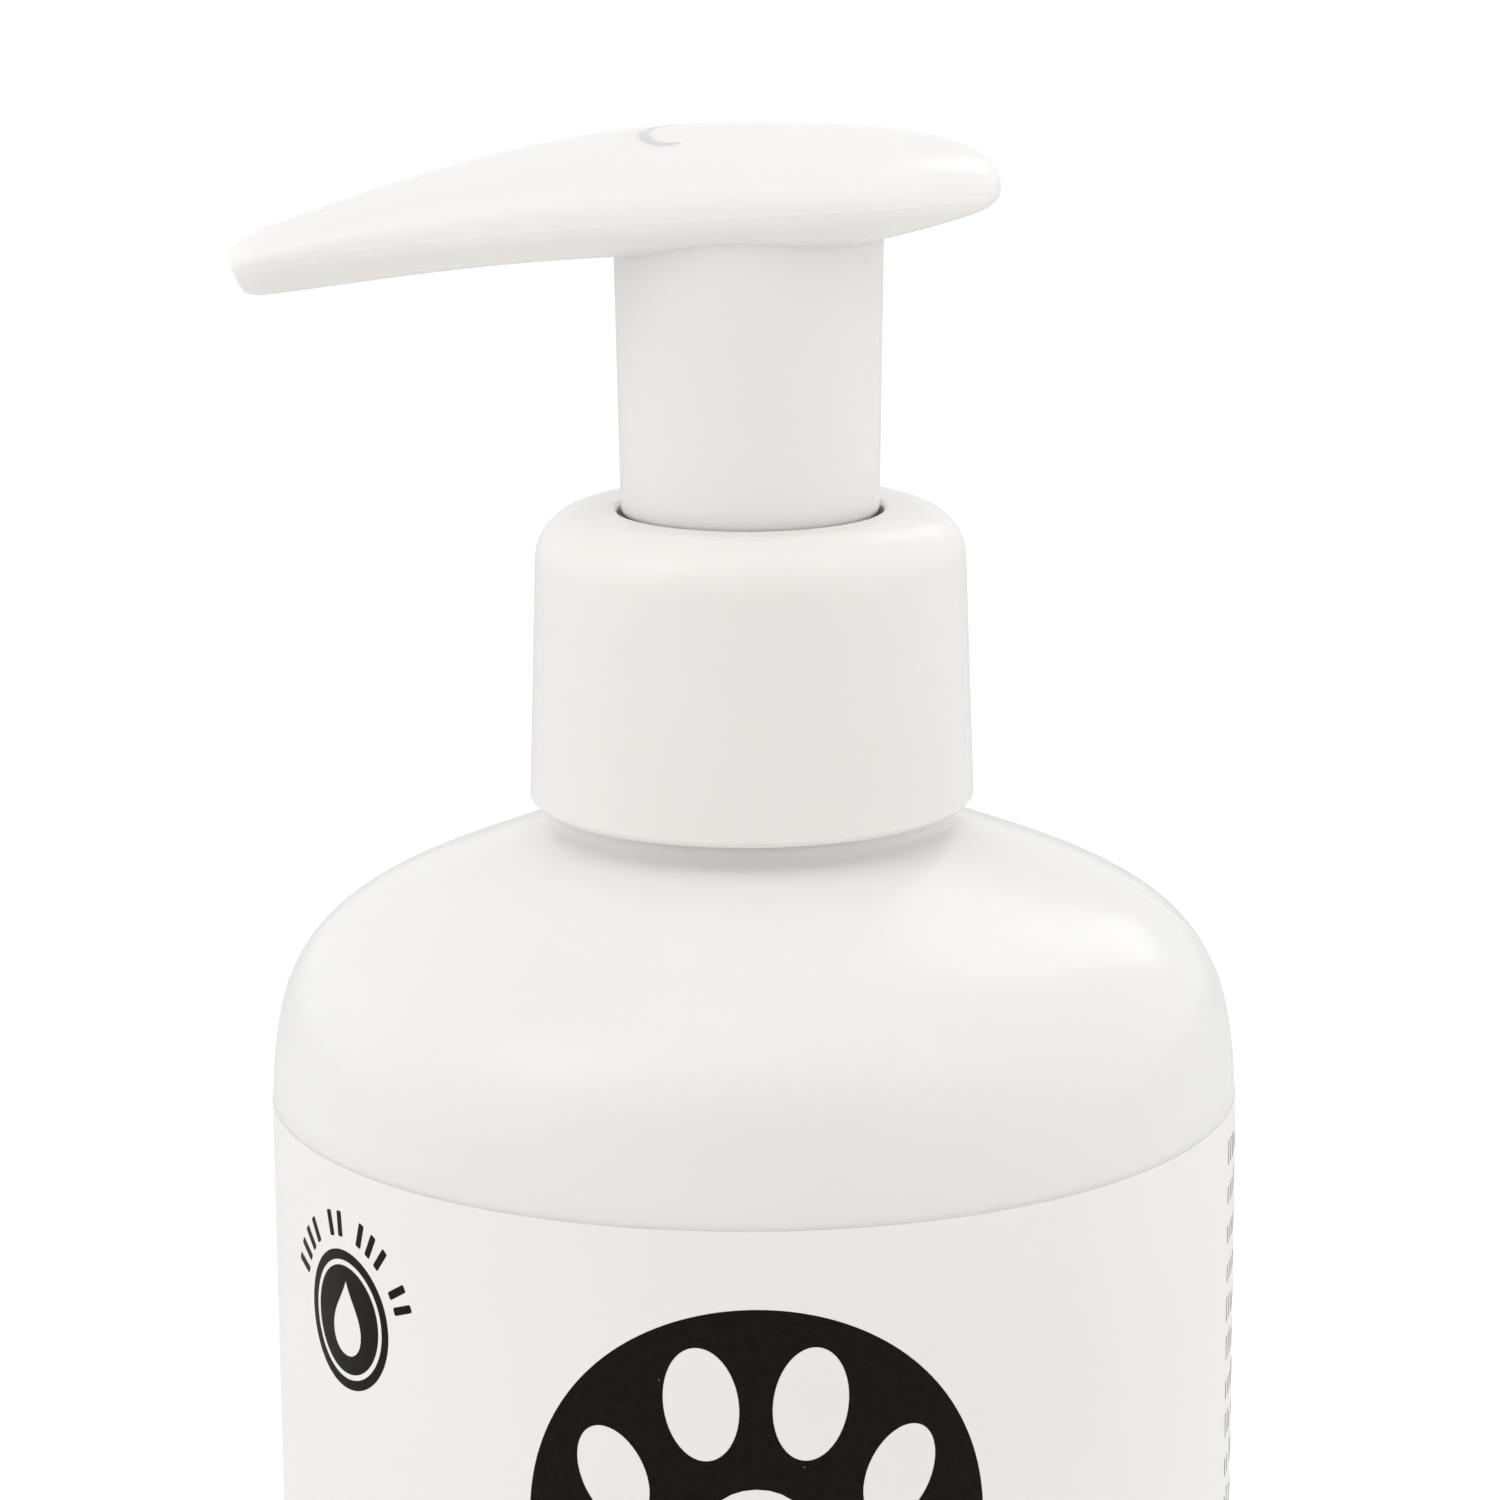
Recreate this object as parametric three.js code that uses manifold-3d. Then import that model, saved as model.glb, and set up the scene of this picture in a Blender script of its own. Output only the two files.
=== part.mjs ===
// Pump bottle for pet shampoo: a round blow-moulded bottle with a wrap-around label, and the lotion
// pump that screws onto its neck. Millimetres, +Z up, origin on the axis at the standing ring.
// The nozzle points along -X.

import * as THREE from 'three';
import { mergeVertices } from 'three/addons/utils/BufferGeometryUtils.js';
import Module from 'manifold-3d';

const wasm = await Module();
wasm.setup();

// ---------------------------------------------------------------- driving dimensions

const BODY_R = 36; // outside radius of the bottle's body
const WALL = 1; // wall of the bottle's body
const RIM_Z = 146; // height of the collar's lower edge with the collar screwed down

// Everything on the neck is laid out from the collar's lower edge.
const up = (height) => RIM_Z + height;

const RING_R = [26.5, 31.5]; // flat ring that the bottle stands on
const PUSH_UP = 3.2; // rise of the base's dome inside that ring
const DOME_FOOT = [24, 2]; // radius and height of the dome's edge
const DOME_FLAT_R = 14; // how far out the dome stays nearly flat
const HEEL_R = 4.5; // rounding between standing ring and body
const SHOULDER_DROP = 24.25; // from the collar's edge down to where the shoulder is vertical
const SHOULDER_R = 15.6; // radius where the shoulder leaves the neck's fillet
const SHOULDER_TOP = -2; // height of that circle
const SHOULDER_SLOPE = THREE.MathUtils.degToRad(22.7);
const SHOULDER_REACH = [17.2, 16.07]; // handles of its curve, at the neck and at the body

const LABEL_Z = [8.9, 124]; // lower and upper edge of the label
const PANEL_DEPTH = 0.15; // the label's panel is sunk by this much
const PANEL_EDGE = 0.15; // and reaches past the label by this much
const LABEL_GAP = 0.1;
const LABEL_OUT = 0.1; // how far the label stands proud of the body
const LABEL_SEAM = THREE.MathUtils.degToRad(2); // open seam at the back

const NECK_R = 13.9; // plain neck under the thread
const NECK_ROOT_R = 12.7;
const NECK_BORE_R = 11.1;
const NECK_TOP = 15.3; // sealing land of the neck
const NECK_STEP = [1.2, 1.9]; // slope between the plain neck and the thread's root
const NECK_LIP = 0.4;
const BORE_FOOT = -1.5; // where the bore opens into the shoulder

const PITCH = 4.23; // right-hand thread, six turns per inch
const BEAD_R = 0.95; // radius of the rounded thread ridges
const NECK_THREAD = { r: 12.9, from: 7.3, turns: 1.5 };
const COLLAR_THREAD = { r: 14.1, from: 7.3 - PITCH / 2, turns: 1.25 };

const COLLAR_R = 16.41; // at the lower edge
const COLLAR_R_TOP = 15.83; // where the top rounding starts
const COLLAR_H = 21.8;
const COLLAR_ROUND = 3.8;
const COLLAR_BORE_R = 14.25;
const COLLAR_HOLE_R = 9.8; // hole that the pump head's skirt sinks through
const COLLAR_EDGE = 0.35;
const COLLAR_WEB = 20; // underside of the collar's top
const COLLAR_RIB_R = 11.6; // round rib under the top, over the flange

const FLANGE = { r: 13.3, z: [16.65, 18.15] }; // rim that hangs the pump on the neck
const FLANGE_PLAY = 0.3;
const SNAP = { r: 12.95, z: [15.95, 16.3], foot: 15.1 }; // bead in the collar, under the flange
const GASKET_R = [11.3, 12.6];
const GASKET_PLAY = 0.15;
const CUP_R = [9.9, 10.7]; // well that takes the skirt
const CUP_FLOOR = [4, 5.2];
const CHAMBER_R = [6.75, 7.75];
const CHAMBER_TOP = 16;
const LEDGE = [-36, -35]; // slotted ring over the ball, under the spring
const BALL_R = 2.25;
const BALL_PLAY = 0.05;
const BALL_POCKET_R = 3;
const LEDGE_R = 1.9; // hole of the slotted ring, too narrow for the ball
const SLOT_WIDTH = 1.2;
const SEAT = { top: -40, bottom: -42, r: 1.6 };
const SOCKET = { r: [3.35, 4.6], z: [-54, -43.5] };
const SOCKET_HEAD = -39.5; // where the socket's wall meets the chamber's cone

const SLEEVE = { bore: 5, play: 0.25, step: 14.3 }; // part of the chaplet inside the chamber
const CHAPLET_SEAT = 16.15;
const CHAPLET_TOP = 17.8;
const CHAPLET_EDGE = 0.4;
const GUIDE_PLAY = 0.3;
const GUIDE_FOOT = 15; // lower end of the stem's guide

const TUBE_R = [2.4, 3.2];
const TUBE_Z = [6, up(-43.8)]; // absolute heights of the dip tube's ends
const TUBE_CUT = THREE.MathUtils.degToRad(30);

const STEM_R = [2.45, 4];
const STEM_FOOT = { r: 5.9, z: [7.2, 8.7] }; // shoulder that stops the stem under the chaplet
const STEM_TOP = 42.5;

const ROD_DISC = { r: 5.8, z: [-2.2, -0.7] }; // seat of the piston and stop of the spring
const ROD_Z = [-14, 14];
const ROD_ARM = { reach: 2.2, thickness: 1.3 };
const GUIDE_ARM = { reach: 3.9, thickness: 1.5 };

// Piston: its radii, and its heights from the tip of the lower lip to the rim of the upper one.
const PISTON = { bore: 2.65, body: 6.15, waist: 6.3, lip: 6.65, root: 6.2 };
const PISTON_Z = { lip: -1.2, body: -0.4, waist: [1.4, 5.2], land: [0.6, 6], top: 5.9, rim: 7 };

const SPRING = { wire: 0.45, r: 4.9, z: [-34.8, -2.4], turns: 10.5, endTurns: 1, endPitch: 1.1 };

const SKIRT = { z: 21.6, r: 9.42, draft: 0.02, wall: 1.12, round: 0.6, top: 43.5 };
const VAULT_FOOT = 45.2; // roof of the space under the head: where it starts, and its points
const VAULT = [[6.2, 46.7], [3.2, 47.5], [0, 47.8]];
const SOCKET_TUBE = { r: [4.15, 5.4], z: [32.5, 43] }; // holds the stem inside the head
const CHANNEL = { start: [0, 46], end: [-37, 39.3], r: 1.7, wallR: 3.1, outletR: 1.2, outlet: 3 };
const TIP_CUT = { from: [-37.55, 40.3], to: [-36.65, 38] }; // slanted end face of the nozzle

// Facets per turn: large rings, small rings, and points per curve of a profile.
const FINE = 40;
const SMALL = 28;
const CURVE_STEPS = 3;

// ---------------------------------------------------------------- geometry helpers

const vec = (pair) => new THREE.Vector2(pair[0], pair[1]);

// Turns a profile of [radius, height] points about the vertical axis. The profile runs out along
// the underside, up the outside, in along the top and down the inside.
function turned(points, facets) {
  const geometry = new THREE.LatheGeometry(points, facets);
  return geometry.rotateX(Math.PI / 2);
}

// A ring's profile closes on itself.
function turnedRing(pairs, facets) {
  const points = pairs.map(vec);
  points.push(points[0].clone());
  return turned(points, facets);
}

// The same, with the heights counted from the collar's lower edge.
const neckRing = (pairs, facets) => turnedRing(pairs.map(([r, z]) => [r, up(z)]), facets);

function solid(geometry) {
  const bare = geometry.clone();
  bare.deleteAttribute('normal');
  bare.deleteAttribute('uv');
  const merged = mergeVertices(bare, 1e-4);
  const mesh = new wasm.Mesh({
    numProp: 3,
    vertProperties: merged.attributes.position.array,
    triVerts: new Uint32Array(merged.index.array),
  });
  return new wasm.Manifold(mesh);
}

function surface(made) {
  const mesh = made.getMesh();
  const geometry = new THREE.BufferGeometry();
  geometry.setAttribute('position', new THREE.BufferAttribute(mesh.vertProperties, 3));
  geometry.setIndex(new THREE.BufferAttribute(mesh.triVerts, 1));
  const shaded = geometry.toNonIndexed();
  shaded.computeVertexNormals();
  return shaded;
}

const joined = (first, ...rest) => rest.reduce((sum, each) => sum.add(each), first);
const carved = (first, ...rest) => rest.reduce((left, each) => left.subtract(each), first);

// Round bar from one point of the XZ plane to another.
function bar(from, to, radius, facets) {
  const a = new THREE.Vector3(from[0], 0, up(from[1]));
  const b = new THREE.Vector3(to[0], 0, up(to[1]));
  const axis = b.clone().sub(a);
  const geometry = new THREE.CylinderGeometry(radius, radius, axis.length(), facets);
  const turn = new THREE.Quaternion();
  turn.setFromUnitVectors(new THREE.Vector3(0, 1, 0), axis.clone().normalize());
  geometry.applyQuaternion(turn);
  const middle = a.add(b).multiplyScalar(0.5);
  return geometry.translate(middle.x, middle.y, middle.z);
}

// Plus-shaped bar about the axis, between two heights over the collar's edge.
function plusBar(reach, thickness, low, high) {
  const length = high - low;
  const arm = () => new THREE.BoxGeometry(2 * reach, thickness, length);
  const across = arm().rotateZ(Math.PI / 2);
  const both = joined(solid(arm()), solid(across));
  return both.translate([0, 0, up((low + high) / 2)]);
}

class Helix extends THREE.Curve {
  // height(turn) gives the height above the collar's edge.
  constructor(radius, turns, height) {
    super();
    Object.assign(this, { radius, turns, height });
  }

  getPoint(t, target = new THREE.Vector3()) {
    const turn = t * this.turns;
    const angle = 2 * Math.PI * turn;
    return target.set(
      this.radius * Math.cos(angle),
      this.radius * Math.sin(angle),
      up(this.height(turn)),
    );
  }
}

function coil(helix, wireR, sides, stepsPerTurn) {
  const section = new THREE.Shape();
  for (let side = 0; side < sides; side += 1) {
    const angle = (2 * Math.PI * side) / sides;
    const corner = [wireR * Math.cos(angle), wireR * Math.sin(angle)];
    if (side === 0) section.moveTo(...corner);
    else section.lineTo(...corner);
  }
  return new THREE.ExtrudeGeometry(section, {
    extrudePath: helix,
    steps: Math.round(helix.turns * stepsPerTurn),
    bevelEnabled: false,
  });
}

function threadRidge({ r, from, turns }) {
  const helix = new Helix(r, turns, (turn) => from + PITCH * turn);
  return solid(coil(helix, BEAD_R, 8, 20));
}

// ---------------------------------------------------------------- bottle and label

// The shoulder leaves the neck as a cone and bends softly into the body.
function shoulderCurve(inset) {
  const start = new THREE.Vector2(SHOULDER_R - 0.4 * inset, up(SHOULDER_TOP) - inset);
  const end = new THREE.Vector2(BODY_R - inset, up(-SHOULDER_DROP));
  const slope = new THREE.Vector2(Math.cos(SHOULDER_SLOPE), -Math.sin(SHOULDER_SLOPE));
  const nearNeck = start.clone().addScaledVector(slope, SHOULDER_REACH[0]);
  const nearBody = new THREE.Vector2(end.x, end.y + SHOULDER_REACH[1]);
  return new THREE.CubicBezierCurve(start, nearNeck, nearBody, end);
}

function bottle() {
  const profile = new THREE.Path();
  profile.moveTo(0, PUSH_UP);
  profile.quadraticCurveTo(DOME_FLAT_R, PUSH_UP, ...DOME_FOOT, 2);
  profile.lineTo(RING_R[0], 0);
  profile.lineTo(RING_R[1], 0);
  profile.absarc(BODY_R - HEEL_R, HEEL_R, HEEL_R, -Math.PI / 2, 0, false);
  const panelR = BODY_R - PANEL_DEPTH;
  profile.lineTo(BODY_R, LABEL_Z[0] - 2 * PANEL_EDGE);
  profile.lineTo(panelR, LABEL_Z[0] - PANEL_EDGE);
  profile.lineTo(panelR, LABEL_Z[1] + PANEL_EDGE);
  const outerShoulder = shoulderCurve(0).getPoints(11).reverse();
  const abovePanel = outerShoulder.filter((point) => point.y > LABEL_Z[1] + 0.25);
  abovePanel.forEach((point) => profile.lineTo(point.x, point.y));
  const filletTop = SHOULDER_TOP + (SHOULDER_R - NECK_R) * Math.tan(SHOULDER_SLOPE);
  profile.quadraticCurveTo(NECK_R, up(filletTop), NECK_R, up(filletTop + 1));
  profile.lineTo(NECK_R, up(NECK_STEP[0]));
  profile.lineTo(NECK_ROOT_R, up(NECK_STEP[1]));
  profile.lineTo(NECK_ROOT_R, up(NECK_TOP - NECK_LIP));
  profile.lineTo(NECK_ROOT_R - NECK_LIP, up(NECK_TOP));
  profile.lineTo(NECK_BORE_R, up(NECK_TOP));
  profile.lineTo(NECK_BORE_R, up(BORE_FOOT));
  shoulderCurve(WALL).getPoints(7).forEach((point) => profile.lineTo(point.x, point.y));
  const innerHeel = HEEL_R - WALL;
  profile.lineTo(BODY_R - WALL, HEEL_R);
  profile.absarc(BODY_R - HEEL_R, HEEL_R, innerHeel, 0, -Math.PI / 2, true);
  profile.lineTo(RING_R[0] + 0.5, WALL);
  profile.lineTo(DOME_FOOT[0] + 0.2, DOME_FOOT[1] + WALL);
  profile.quadraticCurveTo(DOME_FLAT_R, PUSH_UP + WALL, 0, PUSH_UP + WALL);
  const body = turned(profile.getPoints(CURVE_STEPS), FINE);
  return surface(joined(solid(body), threadRidge(NECK_THREAD)));
}

// A film wrapped round the panel, with its seam at the back.
function label() {
  const inner = BODY_R - PANEL_DEPTH + LABEL_GAP;
  const outer = BODY_R + LABEL_OUT;
  const start = Math.PI / 2 + LABEL_SEAM / 2;
  const end = start + 2 * Math.PI - LABEL_SEAM;
  const section = new THREE.Shape();
  section.absarc(0, 0, outer, start, end, false);
  section.absarc(0, 0, inner, end, start, true);
  const film = new THREE.ExtrudeGeometry(section, {
    depth: LABEL_Z[1] - LABEL_Z[0],
    curveSegments: 24,
    bevelEnabled: false,
  });
  return film.translate(0, 0, LABEL_Z[0]);
}

// ---------------------------------------------------------------- collar and gasket

function collar() {
  const top = new THREE.Path();
  top.absarc(COLLAR_R_TOP - COLLAR_ROUND, COLLAR_H - COLLAR_ROUND, COLLAR_ROUND, 0, Math.PI / 2);
  const rounding = top.getPoints(CURVE_STEPS).map((point) => [point.x, point.y]);
  const ring = neckRing([
    [COLLAR_BORE_R, COLLAR_EDGE],
    [COLLAR_BORE_R + COLLAR_EDGE, 0],
    [COLLAR_R - COLLAR_EDGE, 0],
    [COLLAR_R, COLLAR_EDGE],
    ...rounding,
    [COLLAR_HOLE_R + COLLAR_EDGE, COLLAR_H],
    [COLLAR_HOLE_R, COLLAR_H - COLLAR_EDGE],
    [COLLAR_HOLE_R, FLANGE.z[1] + FLANGE_PLAY],
    [COLLAR_RIB_R, FLANGE.z[1] + FLANGE_PLAY],
    [COLLAR_RIB_R, COLLAR_WEB],
    [FLANGE.r + FLANGE_PLAY, COLLAR_WEB],
    [FLANGE.r + FLANGE_PLAY, FLANGE.z[0] - FLANGE_PLAY / 2],
    [SNAP.r, SNAP.z[1]],
    [SNAP.r, SNAP.z[0]],
    [COLLAR_BORE_R, SNAP.foot],
  ], FINE);
  return surface(joined(solid(ring), threadRidge(COLLAR_THREAD)));
}

function neckGasket() {
  const low = NECK_TOP + GASKET_PLAY;
  const high = FLANGE.z[0] - GASKET_PLAY;
  const [inner, outer] = GASKET_R;
  return neckRing([[inner, low], [outer, low], [outer, high], [inner, high]], FINE);
}

// ---------------------------------------------------------------- pump

// The housing is one moulding: flange, well for the skirt, pump chamber, ball seat and tube socket.
function pumpHousing() {
  const ring = neckRing([
    [SOCKET.r[0], SOCKET.z[0]],
    [SOCKET.r[1], SOCKET.z[0]],
    [SOCKET.r[1], SOCKET_HEAD],
    [CHAMBER_R[1], LEDGE[0]],
    [CHAMBER_R[1], CUP_FLOOR[0]],
    [CUP_R[1], CUP_FLOOR[0]],
    [CUP_R[1], FLANGE.z[0]],
    [FLANGE.r, FLANGE.z[0]],
    [FLANGE.r, FLANGE.z[1]],
    [CUP_R[0], FLANGE.z[1]],
    [CUP_R[0], CUP_FLOOR[1]],
    [CHAMBER_R[1], CUP_FLOOR[1]],
    [CHAMBER_R[1], CHAMBER_TOP],
    [CHAMBER_R[0], CHAMBER_TOP],
    [CHAMBER_R[0], LEDGE[1]],
    [LEDGE_R, LEDGE[1]],
    [LEDGE_R, LEDGE[0]],
    [BALL_POCKET_R, LEDGE[0]],
    [BALL_POCKET_R, SEAT.top],
    [SEAT.r, SEAT.bottom],
    [SEAT.r, SOCKET.z[1]],
    [SOCKET.r[0], SOCKET.z[1]],
  ], SMALL);
  // slots in the ring, so that a lifted ball doesn't close it
  const slots = plusBar(BALL_POCKET_R, SLOT_WIDTH, LEDGE[0] - 0.2, LEDGE[1] + 0.2);
  return surface(carved(solid(ring), slots));
}

// Guide for the stem, snapped into the top of the chamber. Its sleeve stops the stem's foot.
function chaplet() {
  const guideR = STEM_R[1] + GUIDE_PLAY;
  const sleeveR = CHAMBER_R[0] - SLEEVE.play;
  const stop = STEM_FOOT.z[1] + GUIDE_PLAY;
  return neckRing([
    [SLEEVE.bore, stop],
    [sleeveR, stop],
    [sleeveR, CHAPLET_SEAT],
    [CHAMBER_R[1], CHAPLET_SEAT],
    [CHAMBER_R[1], CHAPLET_TOP - CHAPLET_EDGE],
    [CHAMBER_R[1] - CHAPLET_EDGE, CHAPLET_TOP],
    [guideR, CHAPLET_TOP],
    [guideR, GUIDE_FOOT],
    [SLEEVE.bore, SLEEVE.step],
  ], SMALL);
}

function stem() {
  const [bore, outside] = STEM_R;
  return neckRing([
    [bore, STEM_FOOT.z[0]],
    [STEM_FOOT.r, STEM_FOOT.z[0]],
    [STEM_FOOT.r, STEM_FOOT.z[1]],
    [outside, STEM_FOOT.z[1]],
    [outside, STEM_TOP - 0.5],
    [outside - 0.4, STEM_TOP],
    [bore, STEM_TOP],
  ], SMALL);
}

// Plus-shaped rod in the stem's bore, the disc that closes the piston, and a guide for the spring.
function pistonRod() {
  const { r, z } = ROD_DISC;
  const middle = (z[0] + z[1]) / 2;
  const disc = new THREE.CylinderGeometry(r, r, z[1] - z[0], SMALL).rotateX(Math.PI / 2);
  disc.translate(0, 0, up(middle));
  const rod = plusBar(ROD_ARM.reach, ROD_ARM.thickness, middle, ROD_Z[1]);
  const guide = plusBar(GUIDE_ARM.reach, GUIDE_ARM.thickness, ROD_Z[0], middle);
  return surface(joined(solid(disc), rod, guide));
}

// Cup seal with a lip at each end. It slides a little on the rod, which opens and shuts the outlet.
function piston() {
  const { bore, body, waist, lip, root } = PISTON;
  return neckRing([
    [bore, PISTON_Z.body],
    [body, PISTON_Z.body],
    [body, PISTON_Z.lip],
    [lip, PISTON_Z.lip],
    [lip, PISTON_Z.land[0]],
    [waist, PISTON_Z.waist[0]],
    [waist, PISTON_Z.waist[1]],
    [lip, PISTON_Z.land[1]],
    [lip, PISTON_Z.rim],
    [root, PISTON_Z.rim],
    [root, PISTON_Z.top],
    [bore, PISTON_Z.top],
  ], SMALL);
}

// Open coils between one closed coil at each end.
function returnSpring() {
  const { wire, r, z, turns, endTurns, endPitch } = SPRING;
  const low = z[0] + wire;
  const high = z[1] - wire;
  const openPitch = (high - low - 2 * endTurns * endPitch) / (turns - 2 * endTurns);
  const height = (turn) => {
    if (turn < endTurns) return low + endPitch * turn;
    if (turn > turns - endTurns) return high - endPitch * (turns - turn);
    return low + endPitch * endTurns + openPitch * (turn - endTurns);
  };
  return coil(new Helix(r, turns, height), wire, 6, 14);
}

// The ball rests on the conical seat: its centre is where the cone is a ball's radius away.
function inletBall() {
  const run = BALL_POCKET_R - SEAT.r;
  const drop = SEAT.top - SEAT.bottom;
  const side = Math.hypot(run, drop);
  const reach = BALL_R + BALL_PLAY;
  const centre = SEAT.top + (reach - (BALL_POCKET_R * drop) / side) / (run / side);
  return new THREE.SphereGeometry(BALL_R, 16, 10).translate(0, 0, up(centre));
}

// Straight tube whose lower end is cut on the slant.
function dipTube() {
  const [bore, outside] = TUBE_R;
  const [low, high] = TUBE_Z;
  const tube = turnedRing([[bore, low], [outside, low], [outside, high], [bore, high]], SMALL);
  const block = new THREE.BoxGeometry(40, 40, 20).translate(0, 0, -10);
  block.rotateY(TUBE_CUT);
  block.translate(outside, 0, low);
  return surface(carved(solid(tube), solid(block)));
}

// ---------------------------------------------------------------- pump head

// Reads a curve drawn in a plane as a height over x.
function heightOver(path) {
  const points = path.getPoints(40);
  return (x) => {
    const next = points.findIndex((point) => point.x >= x);
    if (next <= 0) return (next < 0 ? points.at(-1) : points[0]).y;
    const [a, b] = [points[next - 1], points[next]];
    return a.y + ((b.y - a.y) * (x - a.x)) / (b.x - a.x || 1);
  };
}

const NOSE_X = -38.4;
const BACK_X = 18.25;
const BACK_ROUND = 11.8; // half-width of the head, and the rounding of its back end

// Side view of the head: upper and lower outline, and the line of its widest points.
function upperOutline() {
  const path = new THREE.Path();
  path.moveTo(NOSE_X, 39.8);
  path.quadraticCurveTo(-37.1, 41.75, -34.8, 42.55);
  path.bezierCurveTo(-22.8, 46.69, -13.5, 49.8, -0.5, 49.8);
  path.bezierCurveTo(5, 49.8, 10, 49.4, 13.6, 48.75);
  path.bezierCurveTo(16.3, 48.15, BACK_X, 47, BACK_X, 45.1);
  return path;
}

function lowerOutline() {
  const path = new THREE.Path();
  path.moveTo(NOSE_X, 39.8);
  path.quadraticCurveTo(-38.2, 37.3, -35.3, 37.58);
  path.bezierCurveTo(-30, 38.1, -15, 41, 0, 40.95);
  path.bezierCurveTo(7, 41, 12.5, 41.7, 16.5, 43.15);
  path.quadraticCurveTo(BACK_X, 43.75, BACK_X, 45.1);
  return path;
}

function widestLine() {
  const path = new THREE.Path();
  path.moveTo(NOSE_X, 39.8);
  path.bezierCurveTo(-25, 42, -8, 44.6, BACK_X, 45.1);
  return path;
}

// Half of the head's outline from above.
function planOutline() {
  const path = new THREE.Path();
  path.moveTo(NOSE_X, 0);
  path.quadraticCurveTo(-38.3, 3.3, -35.5, 3.75);
  path.bezierCurveTo(-24, 5.6, -8, BACK_ROUND, BACK_X - BACK_ROUND, BACK_ROUND);
  path.absarc(BACK_X - BACK_ROUND, 0, BACK_ROUND, Math.PI / 2, 0, true);
  return path;
}

// A sphere drawn out along X until each of its rings lies on the head's section there.
function leaf() {
  const top = heightOver(upperOutline());
  const bottom = heightOver(lowerOutline());
  const middle = heightOver(widestLine());
  const halfWidth = heightOver(planOutline());
  const geometry = new THREE.SphereGeometry(1, 32, 22).rotateZ(-Math.PI / 2);
  const position = geometry.attributes.position;
  const at = new THREE.Vector3();
  for (let i = 0; i < position.count; i += 1) {
    at.fromBufferAttribute(position, i);
    const x = THREE.MathUtils.mapLinear(at.x, -1, 1, NOSE_X, BACK_X);
    const angle = Math.atan2(at.z, at.y);
    const rise = angle > 0 ? top(x) - middle(x) : middle(x) - bottom(x);
    position.setXYZ(i, x, halfWidth(x) * Math.cos(angle), up(middle(x) + rise * Math.sin(angle)));
  }
  return geometry;
}

function actuatorHead() {
  const skirtR = (z) => SKIRT.r + SKIRT.draft * (z - SKIRT.z);
  const { round } = SKIRT;
  const edge = new THREE.Path();
  edge.absarc(SKIRT.r - round, SKIRT.z + round, round, -Math.PI / 2, 0, false);
  const skirtProfile = [
    new THREE.Vector2(0, SKIRT.z),
    ...edge.getPoints(2),
    new THREE.Vector2(skirtR(SKIRT.top), SKIRT.top),
    new THREE.Vector2(0, SKIRT.top),
  ];
  skirtProfile.forEach((point) => { point.y = up(point.y); });
  const skirt = solid(turned(skirtProfile, FINE));

  // domed space under the head, around the stem's socket and the channel to the nozzle
  const pocketR = SKIRT.r - SKIRT.wall;
  const pocket = solid(turned([
    [0, SKIRT.z - 1],
    [pocketR, SKIRT.z - 1],
    [pocketR, VAULT_FOOT],
    ...VAULT,
  ].map(([r, z]) => new THREE.Vector2(r, up(z))), SMALL));
  const [socketBore, socketOutside] = SOCKET_TUBE.r;
  const [socketLow, socketHigh] = SOCKET_TUBE.z;
  const socketTube = solid(bar([0, socketLow], [0, 48.5], socketOutside, SMALL));
  const channelTube = solid(bar(CHANNEL.start, CHANNEL.end, CHANNEL.wallR, 20));
  const hollow = carved(pocket, socketTube, channelTube);

  // way for the shampoo: up from the stem, along the channel, out of the slanted tip
  const along = vec(CHANNEL.end).sub(vec(CHANNEL.start)).normalize();
  const narrow = vec(CHANNEL.end).addScaledVector(along, -CHANNEL.outlet).toArray();
  const beyond = vec(CHANNEL.end).addScaledVector(along, CHANNEL.outlet).toArray();
  const ways = [
    bar([0, socketLow - 1], [0, socketHigh], socketBore, SMALL),
    bar([0, socketHigh - 1], [0, CHANNEL.start[1]], STEM_R[0], 24),
    bar(CHANNEL.start, narrow, CHANNEL.r, 20),
    bar(narrow, beyond, CHANNEL.outletR, 16),
  ].map(solid);

  const face = vec(TIP_CUT.to).sub(vec(TIP_CUT.from));
  const tipBlock = new THREE.BoxGeometry(10, 30, 30).translate(-5, 0, 0);
  tipBlock.rotateY(-Math.atan2(face.x, -face.y));
  tipBlock.translate(TIP_CUT.from[0], 0, up(TIP_CUT.from[1]));

  const shell = joined(solid(leaf()), skirt);
  return surface(carved(shell, hollow, ...ways, solid(tipBlock)));
}

// ---------------------------------------------------------------- assembly

const plastic = (color, roughness) => ({ color, roughness, metalness: 0 });
const steel = (color, roughness) => ({ color, roughness, metalness: 1 });

const group = new THREE.Group();

function add(name, geometry, finish) {
  const mesh = new THREE.Mesh(geometry, new THREE.MeshStandardMaterial(finish));
  mesh.name = name;
  group.add(mesh);
}

add('bottle', bottle(), plastic(0xf0f0ee, 0.25));
add('label', label(), plastic(0xfbfaf9, 0.35));
add('collar', collar(), plastic(0xf2f1ee, 0.3));
add('neck_gasket', neckGasket(), plastic(0xe6e6e4, 0.8));
add('pump_housing', pumpHousing(), plastic(0xeceef0, 0.4));
add('chaplet', chaplet(), plastic(0xf4f4f4, 0.35));
add('dip_tube', dipTube(), plastic(0xe9edf0, 0.3));
add('return_spring', returnSpring(), steel(0xb8bbc0, 0.3));
add('inlet_ball', inletBall(), steel(0xcfd2d6, 0.12));
add('piston_rod', pistonRod(), plastic(0xf4f4f4, 0.35));
add('piston', piston(), plastic(0xf0f2f2, 0.5));
add('stem', stem(), plastic(0xf6f6f6, 0.35));
add('actuator_head', actuatorHead(), plastic(0xf4f3f1, 0.28));

export default group;
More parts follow.
